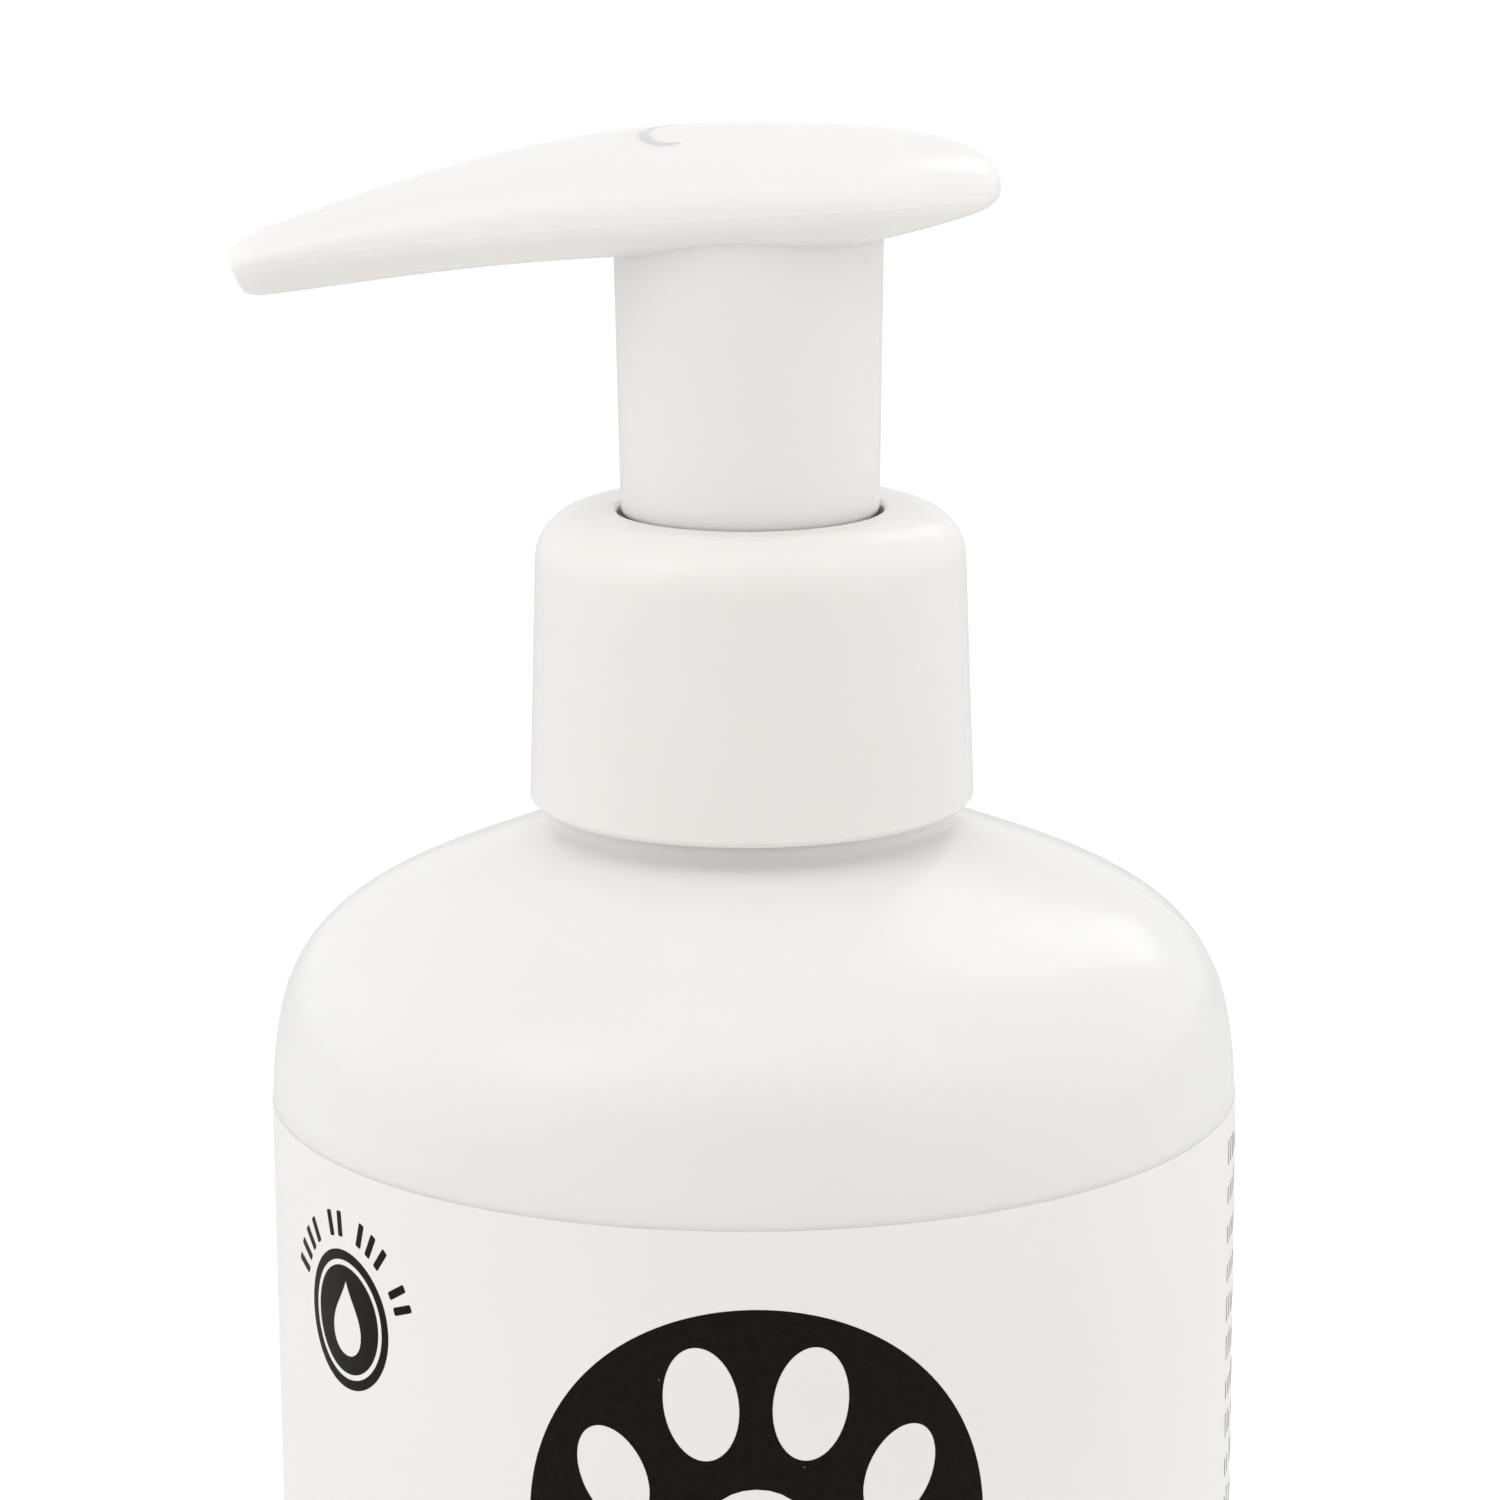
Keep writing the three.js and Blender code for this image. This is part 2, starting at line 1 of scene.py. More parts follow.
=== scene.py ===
"""Looks of the shampoo pump bottle: fine meshes, label print, plastics, camera and studio light.

Lengths are in millimetres until a mesh is made, heights on the neck are counted from the collar's
lower edge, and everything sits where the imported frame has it.
"""

import math
import random

import bmesh
import bpy
from mathutils import Matrix, Vector


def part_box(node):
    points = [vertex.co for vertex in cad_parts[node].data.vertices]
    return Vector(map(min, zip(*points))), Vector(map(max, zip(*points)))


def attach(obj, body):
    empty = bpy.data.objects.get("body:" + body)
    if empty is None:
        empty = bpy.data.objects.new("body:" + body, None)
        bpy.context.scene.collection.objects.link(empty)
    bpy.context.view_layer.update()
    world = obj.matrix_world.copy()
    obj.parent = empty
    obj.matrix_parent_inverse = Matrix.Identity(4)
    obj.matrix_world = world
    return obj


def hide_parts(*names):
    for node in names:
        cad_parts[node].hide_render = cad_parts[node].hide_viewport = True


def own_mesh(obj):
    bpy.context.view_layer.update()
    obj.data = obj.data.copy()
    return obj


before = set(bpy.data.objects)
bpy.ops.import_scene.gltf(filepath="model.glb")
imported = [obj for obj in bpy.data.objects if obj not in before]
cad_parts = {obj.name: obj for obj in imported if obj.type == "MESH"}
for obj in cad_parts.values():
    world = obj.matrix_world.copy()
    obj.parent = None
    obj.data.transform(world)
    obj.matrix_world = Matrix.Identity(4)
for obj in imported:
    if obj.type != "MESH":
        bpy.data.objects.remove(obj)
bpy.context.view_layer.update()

MM = 0.001

# ------------------------------------------------------------------ driving dimensions

RIM_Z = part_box("collar")[0].z / MM
BODY_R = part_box("bottle")[1].x / MM
LABEL_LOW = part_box("label")[0].z / MM
LABEL_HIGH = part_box("label")[1].z / MM
SPRING_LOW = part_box("return_spring")[0].z / MM
SPRING_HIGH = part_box("return_spring")[1].z / MM
BALL_MIDDLE = (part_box("inlet_ball")[0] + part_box("inlet_ball")[1]) / 2 / MM
TUBE_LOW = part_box("dip_tube")[0].z / MM
TUBE_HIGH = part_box("dip_tube")[1].z / MM

WALL = 1.0  # the bottle's
RING_R = (26.5, 31.5)  # the flat ring that the bottle stands on
PUSH_UP = 3.2  # height of the base's middle
PUSH_EDGE = (22.6, 2.15)  # radius and height where the base turns down to the ring
HEEL_R = 4.5
PANEL_DEPTH = 0.15  # of the panel behind the label
SHOULDER_TOP = (15.6, -2)  # radius and height where the shoulder's cone would leave the neck
SHOULDER_LOW = -24.25  # height where the shoulder has become the wall
SHOULDER_SLOPE = math.radians(22.7)  # of the cone
FOOT_R = 15.1  # where the fillet at the neck's foot meets the cone

LABEL_R = BODY_R + 0.03
FILM = 0.06  # thickness of the label
INK_LIFT = 0.007  # from the film to the underside of the ink
INK = 0.006  # thickness of the ink

PITCH = 4.23  # the thread's
THREAD_LOW = 7.3  # height where the neck's thread starts
RIDGE_R = 0.95  # half the thickness of a thread's ridge
NECK_R = 13.9
NECK_ROOT_R = 12.7
NECK_BORE_R = 11.1
NECK_TOP = 15.3

COLLAR_H = 21.8
COLLAR_R = 15.83  # at the top, under the round edge
COLLAR_ROUND = 3.8  # radius of the round edge
COLLAR_BORE_R = 14.25
COLLAR_HOLE_R = 9.75  # the hole that the skirt goes through
COLLAR_HOLE_ROUND = 0.45

SKIRT_R = 9.48  # at its foot
SKIRT_DRAFT = 0.016  # growth of its radius per millimetre upwards
SKIRT_LOW = 21.25
SKIRT_TOP = 43.5  # inside the head
SKIRT_ROUND = 0.65

NOSE_X = -38.4  # tip of the leaf before the nozzle's face is cut
BACK_X = 18.25
HEAD_HALF = 11.8
NOZZLE = (-37, 39.3)  # middle of the nozzle's face
CHANNEL_BEND = (0, 46)  # where the channel turns from the stem to the nozzle

ROUND = 160  # columns round a large turned piece
ROUND_SMALL = 96  # columns round a small one


def up(height):
    """Height above the base of a point given above the collar's lower edge."""
    return RIM_Z + height


# ------------------------------------------------------------------ outlines


def arc(centre, radius, start, end, steps):
    """Points of an arc, with its angles in degrees."""
    angles = [math.radians(start + (end - start) * i / steps) for i in range(steps + 1)]
    return [(centre[0] + radius * math.cos(a), centre[1] + radius * math.sin(a)) for a in angles]


def cubic(p0, p1, p2, p3, steps):
    """Points of a cubic Bezier curve."""
    points = []
    for i in range(steps + 1):
        t = i / steps
        s = 1 - t
        shares = [(s**3, p0), (3 * s * s * t, p1), (3 * s * t * t, p2), (t**3, p3)]
        points.append(tuple(sum(share * p[k] for share, p in shares) for k in (0, 1)))
    return points


def quadratic(p0, p1, p2, steps):
    """Points of a quadratic Bezier curve."""
    near = [p0[k] + (p1[k] - p0[k]) * 2 / 3 for k in (0, 1)]
    far = [p2[k] + (p1[k] - p2[k]) * 2 / 3 for k in (0, 1)]
    return cubic(p0, near, far, p2, steps)


def rounded(corners, steps=4):
    """A closed outline whose corners, given as (r, z) or (r, z, rounding), are bent round.

    A short side gets less rounding than is asked for.
    """
    usual = 0.12
    points = []
    for i, corner in enumerate(corners):
        here = Vector(corner[:2])
        bend = corner[2] if len(corner) > 2 else usual
        before = Vector(corners[i - 1][:2]) - here
        after = Vector(corners[(i + 1) % len(corners)][:2]) - here
        cut = min(bend, 0.45 * before.length, 0.45 * after.length)
        if cut < 1e-4:
            points.append(tuple(here))
            continue
        start = here + before.normalized() * cut
        end = here + after.normalized() * cut
        points += quadratic(start, here, end, steps)
    return points


def on_neck(points):
    """The same points with their heights counted from the base."""
    return [(p[0], up(p[1]), *p[2:]) for p in points]


# ------------------------------------------------------------------ meshes


def made(name, bm, smooth=True):
    """A mesh object from a bmesh in millimetres, with its faces turned out."""
    bmesh.ops.remove_doubles(bm, verts=bm.verts, dist=1e-4)
    bmesh.ops.recalc_face_normals(bm, faces=bm.faces)
    bmesh.ops.scale(bm, verts=bm.verts, vec=(MM, MM, MM))
    mesh = bpy.data.meshes.new(name)
    bm.to_mesh(mesh)
    bm.free()
    if smooth:
        mesh.shade_smooth()
    piece = bpy.data.objects.new(name, mesh)
    bpy.context.scene.collection.objects.link(piece)
    return piece


def skinned(rings, closed_along=False):
    """A bmesh over rows of 3-D points; a row of one point closes the end to a tip."""
    bm = bmesh.new()
    rows = [[bm.verts.new(p) for p in ring] for ring in rings]
    pairs = list(zip(rows, rows[1:]))
    if closed_along:
        pairs.append((rows[-1], rows[0]))
    for a, b in pairs:
        count = max(len(a), len(b))
        for i in range(count):
            corners = [a[i % len(a)], a[(i + 1) % len(a)], b[(i + 1) % len(b)], b[i % len(b)]]
            unique = list(dict.fromkeys(corners))
            if len(unique) > 2:
                bm.faces.new(unique)
    return bm


def capped(rings):
    """A bmesh over rings, with a flat face on its first and on its last ring."""
    bm = skinned(rings)
    bm.verts.ensure_lookup_table()
    count = len(rings[0])
    for first in (0, (len(rings) - 1) * count):
        bm.faces.new([bm.verts[first + i] for i in range(count)])
    return bm


def turned(profile, columns, seam=None, closed=False):
    """A bmesh turned about the vertical axis. seam adds to the radius by angle and height."""
    rings = []
    for r, z in profile:
        if r < 1e-6:
            rings.append([(0, 0, z)])
            continue
        ring = []
        for angle in columns:
            wide = r + (seam(angle, r, z) if seam else 0)
            ring.append((wide * math.cos(angle), wide * math.sin(angle), z))
        rings.append(ring)
    return skinned(rings, closed_along=closed)


def even(count):
    """Angles of evenly spaced columns."""
    return [2 * math.pi * i / count for i in range(count)]


def ring_piece(name, corners):
    """A closed turned ring on the neck, with its corners given as rounded() takes them."""
    return made(name, turned(rounded(on_neck(corners)), even(ROUND_SMALL), closed=True))


def swept(centres, radius_at, sides, frame_at):
    """A bmesh of a round bar along centres. frame_at gives the two directions across it."""
    rings = []
    for i, centre in enumerate(centres):
        across, over = frame_at(i)
        radius = radius_at(i)
        if radius < 1e-4:
            rings.append([tuple(centre)])
            continue
        rings.append([
            tuple(centre + radius * (math.cos(a) * across + math.sin(a) * over)) for a in even(sides)
        ])
    return skinned(rings)


def helix(radius, turns, height, radius_at, per_turn, sides):
    """A bmesh of a bar along a helix; height and radius_at are functions of the turn."""
    count = round(turns * per_turn)
    at_turn = [turns * i / count for i in range(count + 1)]
    centres = [
        Vector((radius * math.cos(2 * math.pi * t), radius * math.sin(2 * math.pi * t), up(height(t))))
        for t in at_turn
    ]

    def frame_at(i):
        a = 2 * math.pi * at_turn[i]
        return Vector((math.cos(a), math.sin(a), 0)), Vector((0, 0, 1))

    return swept(centres, lambda i: radius_at(at_turn[i]), sides, frame_at)


def thread(radius, start, turns):
    """A thread ridge that runs out to nothing at both ends, over fade of a turn."""
    fade = 0.12

    def ridge(turn):
        return RIDGE_R * math.sqrt(max(0.0, min(1.0, turn / fade, (turns - turn) / fade)))

    return helix(radius, turns, lambda turn: start + PITCH * turn, ridge, per_turn=56, sides=14)


def weld(mesh, reach=1e-6):
    """Closes the hairline gaps and slivers that a cut can leave; reach is in metres."""
    bm = bmesh.new()
    bm.from_mesh(mesh)
    bmesh.ops.remove_doubles(bm, verts=bm.verts, dist=reach)
    bmesh.ops.dissolve_degenerate(bm, edges=bm.edges, dist=reach)
    bm.to_mesh(mesh)
    bm.free()


def combine(target, other, operation):
    """Joins other to target, or cuts it away, and deletes other."""
    modifier = target.modifiers.new("combine", "BOOLEAN")
    modifier.operation = operation
    modifier.object = other
    modifier.solver = "EXACT"
    graph = bpy.context.evaluated_depsgraph_get()
    mesh = bpy.data.meshes.new_from_object(target.evaluated_get(graph))
    target.modifiers.clear()
    old = target.data
    target.data = mesh
    mesh.name = target.name
    weld(mesh)
    bpy.data.meshes.remove(old)
    bpy.data.objects.remove(other)
    return target


def finished(piece, body, material, node=None, crease=35):
    """Gives a piece its finish, body and slot. Edges over crease degrees stay sharp."""
    mesh = piece.data
    mesh.set_sharp_from_angle(angle=math.radians(crease))
    weighted = piece.modifiers.new("weighted_normals", "WEIGHTED_NORMAL")
    weighted.keep_sharp = True
    weighted.weight = 80
    mesh.materials.clear()
    mesh.materials.append(material)
    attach(piece, body)
    if node:
        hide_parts(node)


# ------------------------------------------------------------------ materials


class Nodes:
    """A node tree built step by step."""

    def __init__(self, tree):
        self.nodes = tree.nodes
        self.links = tree.links

    def node(self, kind, inputs=None, **settings):
        made_node = self.nodes.new(kind)
        for key, value in settings.items():
            setattr(made_node, key, value)
        for key, value in (inputs or {}).items():
            self.feed(made_node, key, value)
        return made_node

    def feed(self, node, key, value):
        socket = node.inputs[key]
        if isinstance(value, bpy.types.NodeSocket):
            self.links.new(value, socket)
        else:
            socket.default_value = value

    def math(self, operation, a, b=0.0):
        return self.node("ShaderNodeMath", {0: a, 1: b}, operation=operation).outputs[0]


class Finish(Nodes):
    """A material. Its textures run in the object's own metres."""

    def __init__(self, name):
        self.material = bpy.data.materials.new(name)
        self.material.use_nodes = True
        super().__init__(self.material.node_tree)
        self.shader = self.nodes["Principled BSDF"]
        self.place = self.nodes.new("ShaderNodeTexCoord").outputs["Object"]

    def set(self, **values):
        for key, value in values.items():
            self.feed(self.shader, key.replace("_", " "), value)

    def noise(self, scale, detail=2.0, rough=0.5, place=None):
        node = self.node(
            "ShaderNodeTexNoise",
            {"Vector": place or self.place, "Scale": scale, "Detail": detail, "Roughness": rough},
        )
        return node.outputs["Fac"]

    def stretched(self, scale):
        node = self.node("ShaderNodeMapping", {"Vector": self.place, "Scale": scale})
        return node.outputs["Vector"]

    def between(self, value, low, high, to_low, to_high):
        node = self.node(
            "ShaderNodeMapRange",
            {"Value": value, 1: low, 2: high, 3: to_low, 4: to_high},
            clamp=True,
        )
        return node.outputs["Result"]

    def mix(self, share, a, b):
        node = self.node("ShaderNodeMix", data_type="RGBA")
        self.feed(node, 0, share)
        self.feed(node, 6, a)
        self.feed(node, 7, b)
        return node.outputs[2]

    def specks(self, scale, size, share):
        """1 on sparse small dots, 0 elsewhere: size and spacing are shares of a cell."""
        cells = self.node(
            "ShaderNodeTexVoronoi", {"Vector": self.place, "Scale": scale}, feature="F1"
        )
        dot = self.between(cells.outputs["Distance"], size * 0.5, size, 1.0, 0.0)
        pick = self.node("ShaderNodeSeparateColor", {"Color": cells.outputs["Color"]})
        kept = self.math("GREATER_THAN", pick.outputs[0], 1 - share)
        return self.math("MULTIPLY", dot, kept)

    def bump(self, height, distance, normal=None):
        node = self.node("ShaderNodeBump", {"Height": height, "Distance": distance, "Strength": 1.0})
        if normal is not None:
            self.feed(node, "Normal", normal)
        return node.outputs["Normal"]


def plastic(name, color, roughness, wave=0.0, dust=0.1, bleed=(1.0, 0.9, 0.75)):
    """White moulded plastic: faint cloudiness, uneven gloss, orange peel and dust."""
    f = Finish(name)
    cloud = f.noise(38, 3)
    shade = [c * 0.975 for c in color] + [1]
    tone = f.mix(f.between(cloud, 0.35, 0.7, 0.0, 1.0), [*color, 1], shade)
    speck = f.specks(230, 0.036, dust)
    tone = f.mix(f.math("MULTIPLY", speck, 0.55), tone, (0.33, 0.31, 0.29, 1))
    smudge = f.noise(70, 4, 0.6)
    rough = f.between(smudge, 0.3, 0.75, roughness, roughness + 0.06)
    normal = f.bump(f.noise(900, 2), 6e-6)
    if wave:
        normal = f.bump(f.noise(55, 1), wave, normal)
    f.set(Base_Color=tone, Roughness=rough, Normal=normal, Metallic=0.0, IOR=1.49)
    f.set(Subsurface_Weight=0.5, Subsurface_Scale=0.002, Subsurface_Radius=bleed)
    return f.material


def film_finish():
    """Smooth satin label film over the bottle, with a trace of stretch along its height."""
    f = Finish("label_film")
    cloud = f.noise(30, 2)
    bright, dull = (0.868, 0.85, 0.842, 1), (0.848, 0.829, 0.821, 1)
    tone = f.mix(f.between(cloud, 0.35, 0.7, 0.0, 1.0), bright, dull)
    speck = f.specks(170, 0.035, 0.03)
    tone = f.mix(f.math("MULTIPLY", speck, 0.5), tone, (0.3, 0.28, 0.27, 1))
    pulled = f.noise(1.0, 3, 0.5, f.stretched((160, 160, 14)))
    rough = f.between(pulled, 0.3, 0.7, 0.29, 0.34)
    normal = f.bump(f.noise(1500, 2), 2e-6)
    normal = f.bump(pulled, 8e-6, normal)
    f.set(Base_Color=tone, Roughness=rough, Normal=normal, Metallic=0.0, IOR=1.49)
    return f.material


def ink_finish():
    """Black print: a soft shine, and a few pinholes where the film shows through."""
    f = Finish("label_ink")
    grain = f.noise(2200, 2)
    deep, thin = (0.006, 0.0042, 0.0034, 1), (0.0105, 0.0078, 0.0066, 1)
    tone = f.mix(f.between(grain, 0.3, 0.7, 0.0, 1.0), deep, thin)
    pinhole = f.specks(900, 0.08, 0.05)
    tone = f.mix(f.math("MULTIPLY", pinhole, 0.25), tone, (0.5, 0.48, 0.46, 1))
    f.set(
        Base_Color=tone,
        Roughness=f.between(grain, 0.3, 0.7, 0.34, 0.42),
        Normal=f.bump(grain, 1.5e-6),
        Metallic=0.0,
        IOR=1.45,
        Specular_IOR_Level=0.08,
    )
    return f.material


def steel_finish(name, tint, low, high):
    """Bright steel with fine drawing marks."""
    f = Finish(name)
    marks = f.noise(1.0, 4, 0.6, f.stretched((300, 300, 5200)))
    worn = [c * 0.8 for c in tint]
    f.set(
        Base_Color=f.mix(marks, (*tint, 1), (*worn, 1)),
        Roughness=f.between(marks, 0.3, 0.7, low, high),
        Metallic=1.0,
        Normal=f.bump(marks, 2e-6),
    )
    return f.material


def foam_finish():
    """Closed-cell foam of the neck gasket, with painted shade in the pits of its pores."""
    f = Finish("gasket_foam")
    cells = f.node("ShaderNodeTexVoronoi", {"Vector": f.place, "Scale": 2400.0}, feature="F1")
    pores = cells.outputs["Distance"]
    # painted shade: the pores' pits, sunk by the bump below, are coloured darker than the foam's skin
    deep, skin = (0.72, 0.72, 0.7, 1), (0.82, 0.82, 0.8, 1)
    f.set(
        Base_Color=f.mix(f.between(pores, 0.1, 0.7, 0, 1), deep, skin),
        Roughness=f.between(pores, 0.1, 0.7, 0.95, 0.8),
        Normal=f.bump(pores, 8e-5),
        Metallic=0.0,
    )
    return f.material


def tube_finish():
    """Milky polyethylene of the dip tube, with the fine lines of its extrusion."""
    f = Finish("tube_plastic")
    lines = f.noise(1.0, 3, 0.6, f.stretched((2600, 2600, 18)))
    f.set(
        Base_Color=f.mix(lines, (0.8, 0.84, 0.85, 1), (0.74, 0.79, 0.8, 1)),
        Roughness=f.between(lines, 0.3, 0.7, 0.3, 0.42),
        Normal=f.bump(lines, 6e-6),
        Metallic=0.0,
        Transmission_Weight=0.35,
        IOR=1.51,
    )
    return f.material


bottle_plastic = plastic(
    "bottle_plastic", (0.85, 0.841, 0.828), 0.15, wave=5e-5, bleed=(1.0, 1.0, 1.0)
)
closure_plastic = plastic("closure_plastic", (0.845, 0.825, 0.793), 0.2)
head_plastic = plastic("head_plastic", (0.85, 0.836, 0.812), 0.19)
pump_plastic = plastic("pump_plastic", (0.8, 0.81, 0.82), 0.34, dust=0.0)
piston_plastic = plastic("piston_plastic", (0.78, 0.8, 0.81), 0.45, dust=0.0)
label_film = film_finish()
label_ink = ink_finish()
gasket_foam = foam_finish()
tube_plastic = tube_finish()
spring_steel = steel_finish("spring_steel", (0.62, 0.62, 0.63), 0.22, 0.34)
ball_steel = steel_finish("ball_steel", (0.74, 0.74, 0.75), 0.06, 0.12)

# ------------------------------------------------------------------ bottle


def shoulder(inset, steps):
    """From the neck down to the body, a cone that bends into the wall. inset is depth in the wall."""
    along_cone = 17.2
    along_wall = 16.07
    start = (SHOULDER_TOP[0] - 0.4 * inset, up(SHOULDER_TOP[1]) - inset)
    end = (BODY_R - inset, up(SHOULDER_LOW))
    near_neck = (
        start[0] + along_cone * math.cos(SHOULDER_SLOPE),
        start[1] - along_cone * math.sin(SHOULDER_SLOPE),
    )
    return cubic(start, near_neck, (end[0], end[1] + along_wall), end, steps)


def seam_columns(count):
    """Even columns, with close ones on both sides of the two mould seams."""
    extra = [side + math.radians(d) for side in (0, math.pi) for d in (-0.5, -0.22, 0.22, 0.5)]
    return sorted(a % (2 * math.pi) for a in even(count) + extra)


def bottle_profile():
    """The wall as a closed outline: up the outside from the base's middle, then down the inside."""
    panel = BODY_R - PANEL_DEPTH
    heel = (BODY_R - HEEL_R, HEEL_R)

    points = quadratic((0, PUSH_UP), (14, PUSH_UP), PUSH_EDGE, 14)
    points += quadratic(PUSH_EDGE, (24.4, 1.9), (25.2, 0.9), 6)[1:]
    points += quadratic((25.2, 0.9), (25.8, 0), (RING_R[0] + 0.4, 0), 5)[1:]
    points += [(RING_R[1] - 1.5, 0)]
    points += arc(heel, HEEL_R, -90, 0, 14)
    points += [(BODY_R, LABEL_LOW - 0.9)]
    points += [(BODY_R - 0.035, LABEL_LOW - 0.02), (BODY_R - 0.04, LABEL_LOW + 0.3)]
    points += [(panel, z) for z in (LABEL_LOW + 1, 40, 65, 90, 110, LABEL_HIGH - 1)]
    points += [(BODY_R - 0.04, LABEL_HIGH - 0.3), (BODY_R - 0.035, LABEL_HIGH + 0.02)]
    points += [p for p in reversed(shoulder(0, 56)) if p[1] > LABEL_HIGH + 0.6]

    foot = SHOULDER_TOP[1] + (SHOULDER_TOP[0] - FOOT_R) * math.tan(SHOULDER_SLOPE)
    points += on_neck(quadratic((FOOT_R, foot), (14.42, foot + 0.28), (14.36, -0.95), 8))
    points += on_neck([(14.34, -0.55), (14.26, -0.4), (14.08, -0.3), (NECK_R, -0.22), (NECK_R, 0)])
    points += on_neck([(NECK_R, 0.9), (NECK_R - 0.1, 1.15), (NECK_ROOT_R + 0.15, 1.75)])
    points += on_neck([(NECK_ROOT_R, 2), (NECK_ROOT_R, NECK_TOP - 0.7)])
    points += arc((NECK_ROOT_R - 0.4, up(NECK_TOP - 0.4)), 0.4, 0, 90, 4)

    inside = shoulder(WALL, 32)
    points += arc((NECK_BORE_R + 0.25, up(NECK_TOP - 0.25)), 0.25, 90, 180, 4)
    points += on_neck([(NECK_BORE_R, NECK_TOP - 1), (NECK_BORE_R, 5), (NECK_BORE_R, -1)])
    points += quadratic((NECK_BORE_R, up(-1)), (NECK_BORE_R, up(-2.4)), inside[0], 5)[1:-1]
    points += inside
    points += [(BODY_R - WALL, z) for z in (90, 40)]
    points += arc(heel, HEEL_R - WALL, 0, -90, 10)
    points += [(RING_R[0] + 0.8, WALL)]
    points += quadratic((RING_R[0] + 0.4, WALL), (25.2, 2.4), (PUSH_EDGE[0], 3.1), 6)
    points += quadratic((PUSH_EDGE[0], 3.15), (14, PUSH_UP + WALL), (0, PUSH_UP + WALL), 10)[1:]
    return points


def mould_seam(angle, r, z):
    """The fine ridge that the two mould halves leave on the bottle, clear of the label."""
    off = abs(math.remainder(angle, math.pi))
    on_body = z > 0.5 and r > 24
    on_wall = on_body if z < RIM_Z - 4 else r > NECK_R - 0.3
    behind_label = LABEL_LOW - 1 < z < LABEL_HIGH + 0.3
    if not on_wall or behind_label or off > math.radians(0.3):
        return 0
    return 0.03 if off < math.radians(0.1) else 0.02


def pinch_off():
    """The welded line across the base, where the mould closed the tube of plastic."""
    half = 20
    fall = PUSH_UP - PUSH_EDGE[1]
    rings = []
    for x in range(-half, half + 1):
        width = 0.45 * math.sqrt(max(0.02, 1 - (x / half) ** 4))
        crown = PUSH_UP - fall * (abs(x) / PUSH_EDGE[0]) ** 2
        rings.append([(x, width * math.cos(a), crown + 0.32 * math.sin(a)) for a in even(12)])
    ends = [[(-half - 0.2, 0, rings[0][0][2])], *rings, [(half + 0.2, 0, rings[-1][0][2])]]
    return made("pinch_off", skinned(ends))


def make_bottle():
    """Blow-moulded bottle with its thread, mould seams and pinch-off."""
    piece = made("bottle_shell", turned(bottle_profile(), seam_columns(ROUND), mould_seam))
    ridge = thread(NECK_ROOT_R + 0.2, THREAD_LOW, turns=1.5)
    combine(piece, made("ridge", ridge), "UNION")
    combine(piece, pinch_off(), "UNION")
    finished(piece, "bottle", bottle_plastic, "bottle")


# ------------------------------------------------------------------ label and print


def make_label():
    """Wrapped film whose ends meet at the back with a narrow gap."""
    half_gap = math.radians(1.0)
    start = math.pi / 2 + half_gap
    turn = 2 * math.pi - 2 * half_gap
    steps = 240
    levels = 24
    inner = LABEL_R - FILM
    edge = 0.03
    section = [
        (inner, LABEL_LOW), (LABEL_R - edge, LABEL_LOW), (LABEL_R, LABEL_LOW + edge),
        *[(LABEL_R, LABEL_LOW + (LABEL_HIGH - LABEL_LOW) * k / levels) for k in range(1, levels)],
        (LABEL_R, LABEL_HIGH - edge), (LABEL_R - edge, LABEL_HIGH), (inner, LABEL_HIGH),
        (inner, (LABEL_LOW + LABEL_HIGH) / 2),
    ]
    rings = []
    for i in range(steps + 1):
        a = start + turn * i / steps
        rings.append([(r * math.cos(a), r * math.sin(a), z) for r, z in section])
    film = made("label_wrap", capped(rings))
    finished(film, "bottle", label_film, "label", crease=60)


def ellipse(centre, radii, tilt=0.0, steps=48):
    """Points of an ellipse turned by tilt degrees."""
    c, s = math.cos(math.radians(tilt)), math.sin(math.radians(tilt))
    points = []
    for a in even(steps):
        x, y = radii[0] * math.cos(a), radii[1] * math.sin(a)
        points.append((centre[0] + x * c - y * s, centre[1] + x * s + y * c))
    return points


def soft_polygon(corners, bend, steps):
    """A polygon with round corners."""
    return rounded([(x, y, bend) for x, y in corners], steps)


def printed(name, shapes):
    """Ink on the label. Each shape is an outline and its holes, as (distance round, height).

    The flat shapes are cut into upright strips, so that they can bend round the bottle.
    """
    strip = 1.0
    bm = bmesh.new()
    for loops in shapes:
        edges = []
        for loop in loops:
            corners = [bm.verts.new((x, y, 0)) for x, y in loop]
            edges += [bm.edges.new((a, b)) for a, b in zip(corners, corners[1:] + corners[:1])]
        bmesh.ops.triangle_fill(bm, use_beauty=True, edges=edges)
    spread = [v.co.x for v in bm.verts]
    cut = math.floor(min(spread))
    while cut < max(spread):
        everything = [*bm.verts, *bm.edges, *bm.faces]
        bmesh.ops.bisect_plane(bm, geom=everything, plane_co=(cut, 0, 0), plane_no=(1, 0, 0))
        cut += strip
    bmesh.ops.recalc_face_normals(bm, faces=bm.faces)
    raised = bmesh.ops.extrude_face_region(bm, geom=list(bm.faces), use_keep_orig=True)
    for v in raised["geom"]:
        if isinstance(v, bmesh.types.BMVert):
            v.co.z = INK
    for v in bm.verts:
        radius = LABEL_R + INK_LIFT + v.co.z
        angle = v.co.x / LABEL_R
        v.co = Vector((radius * math.sin(angle), -radius * math.cos(angle), v.co.y))
    finished(made(name, bm), "bottle", label_ink, crease=50)


def enlarged(points, centre, size):
    """Points drawn about the origin, made larger and set at centre."""
    return [(centre[0] + size * x, centre[1] + size * y) for x, y in points]


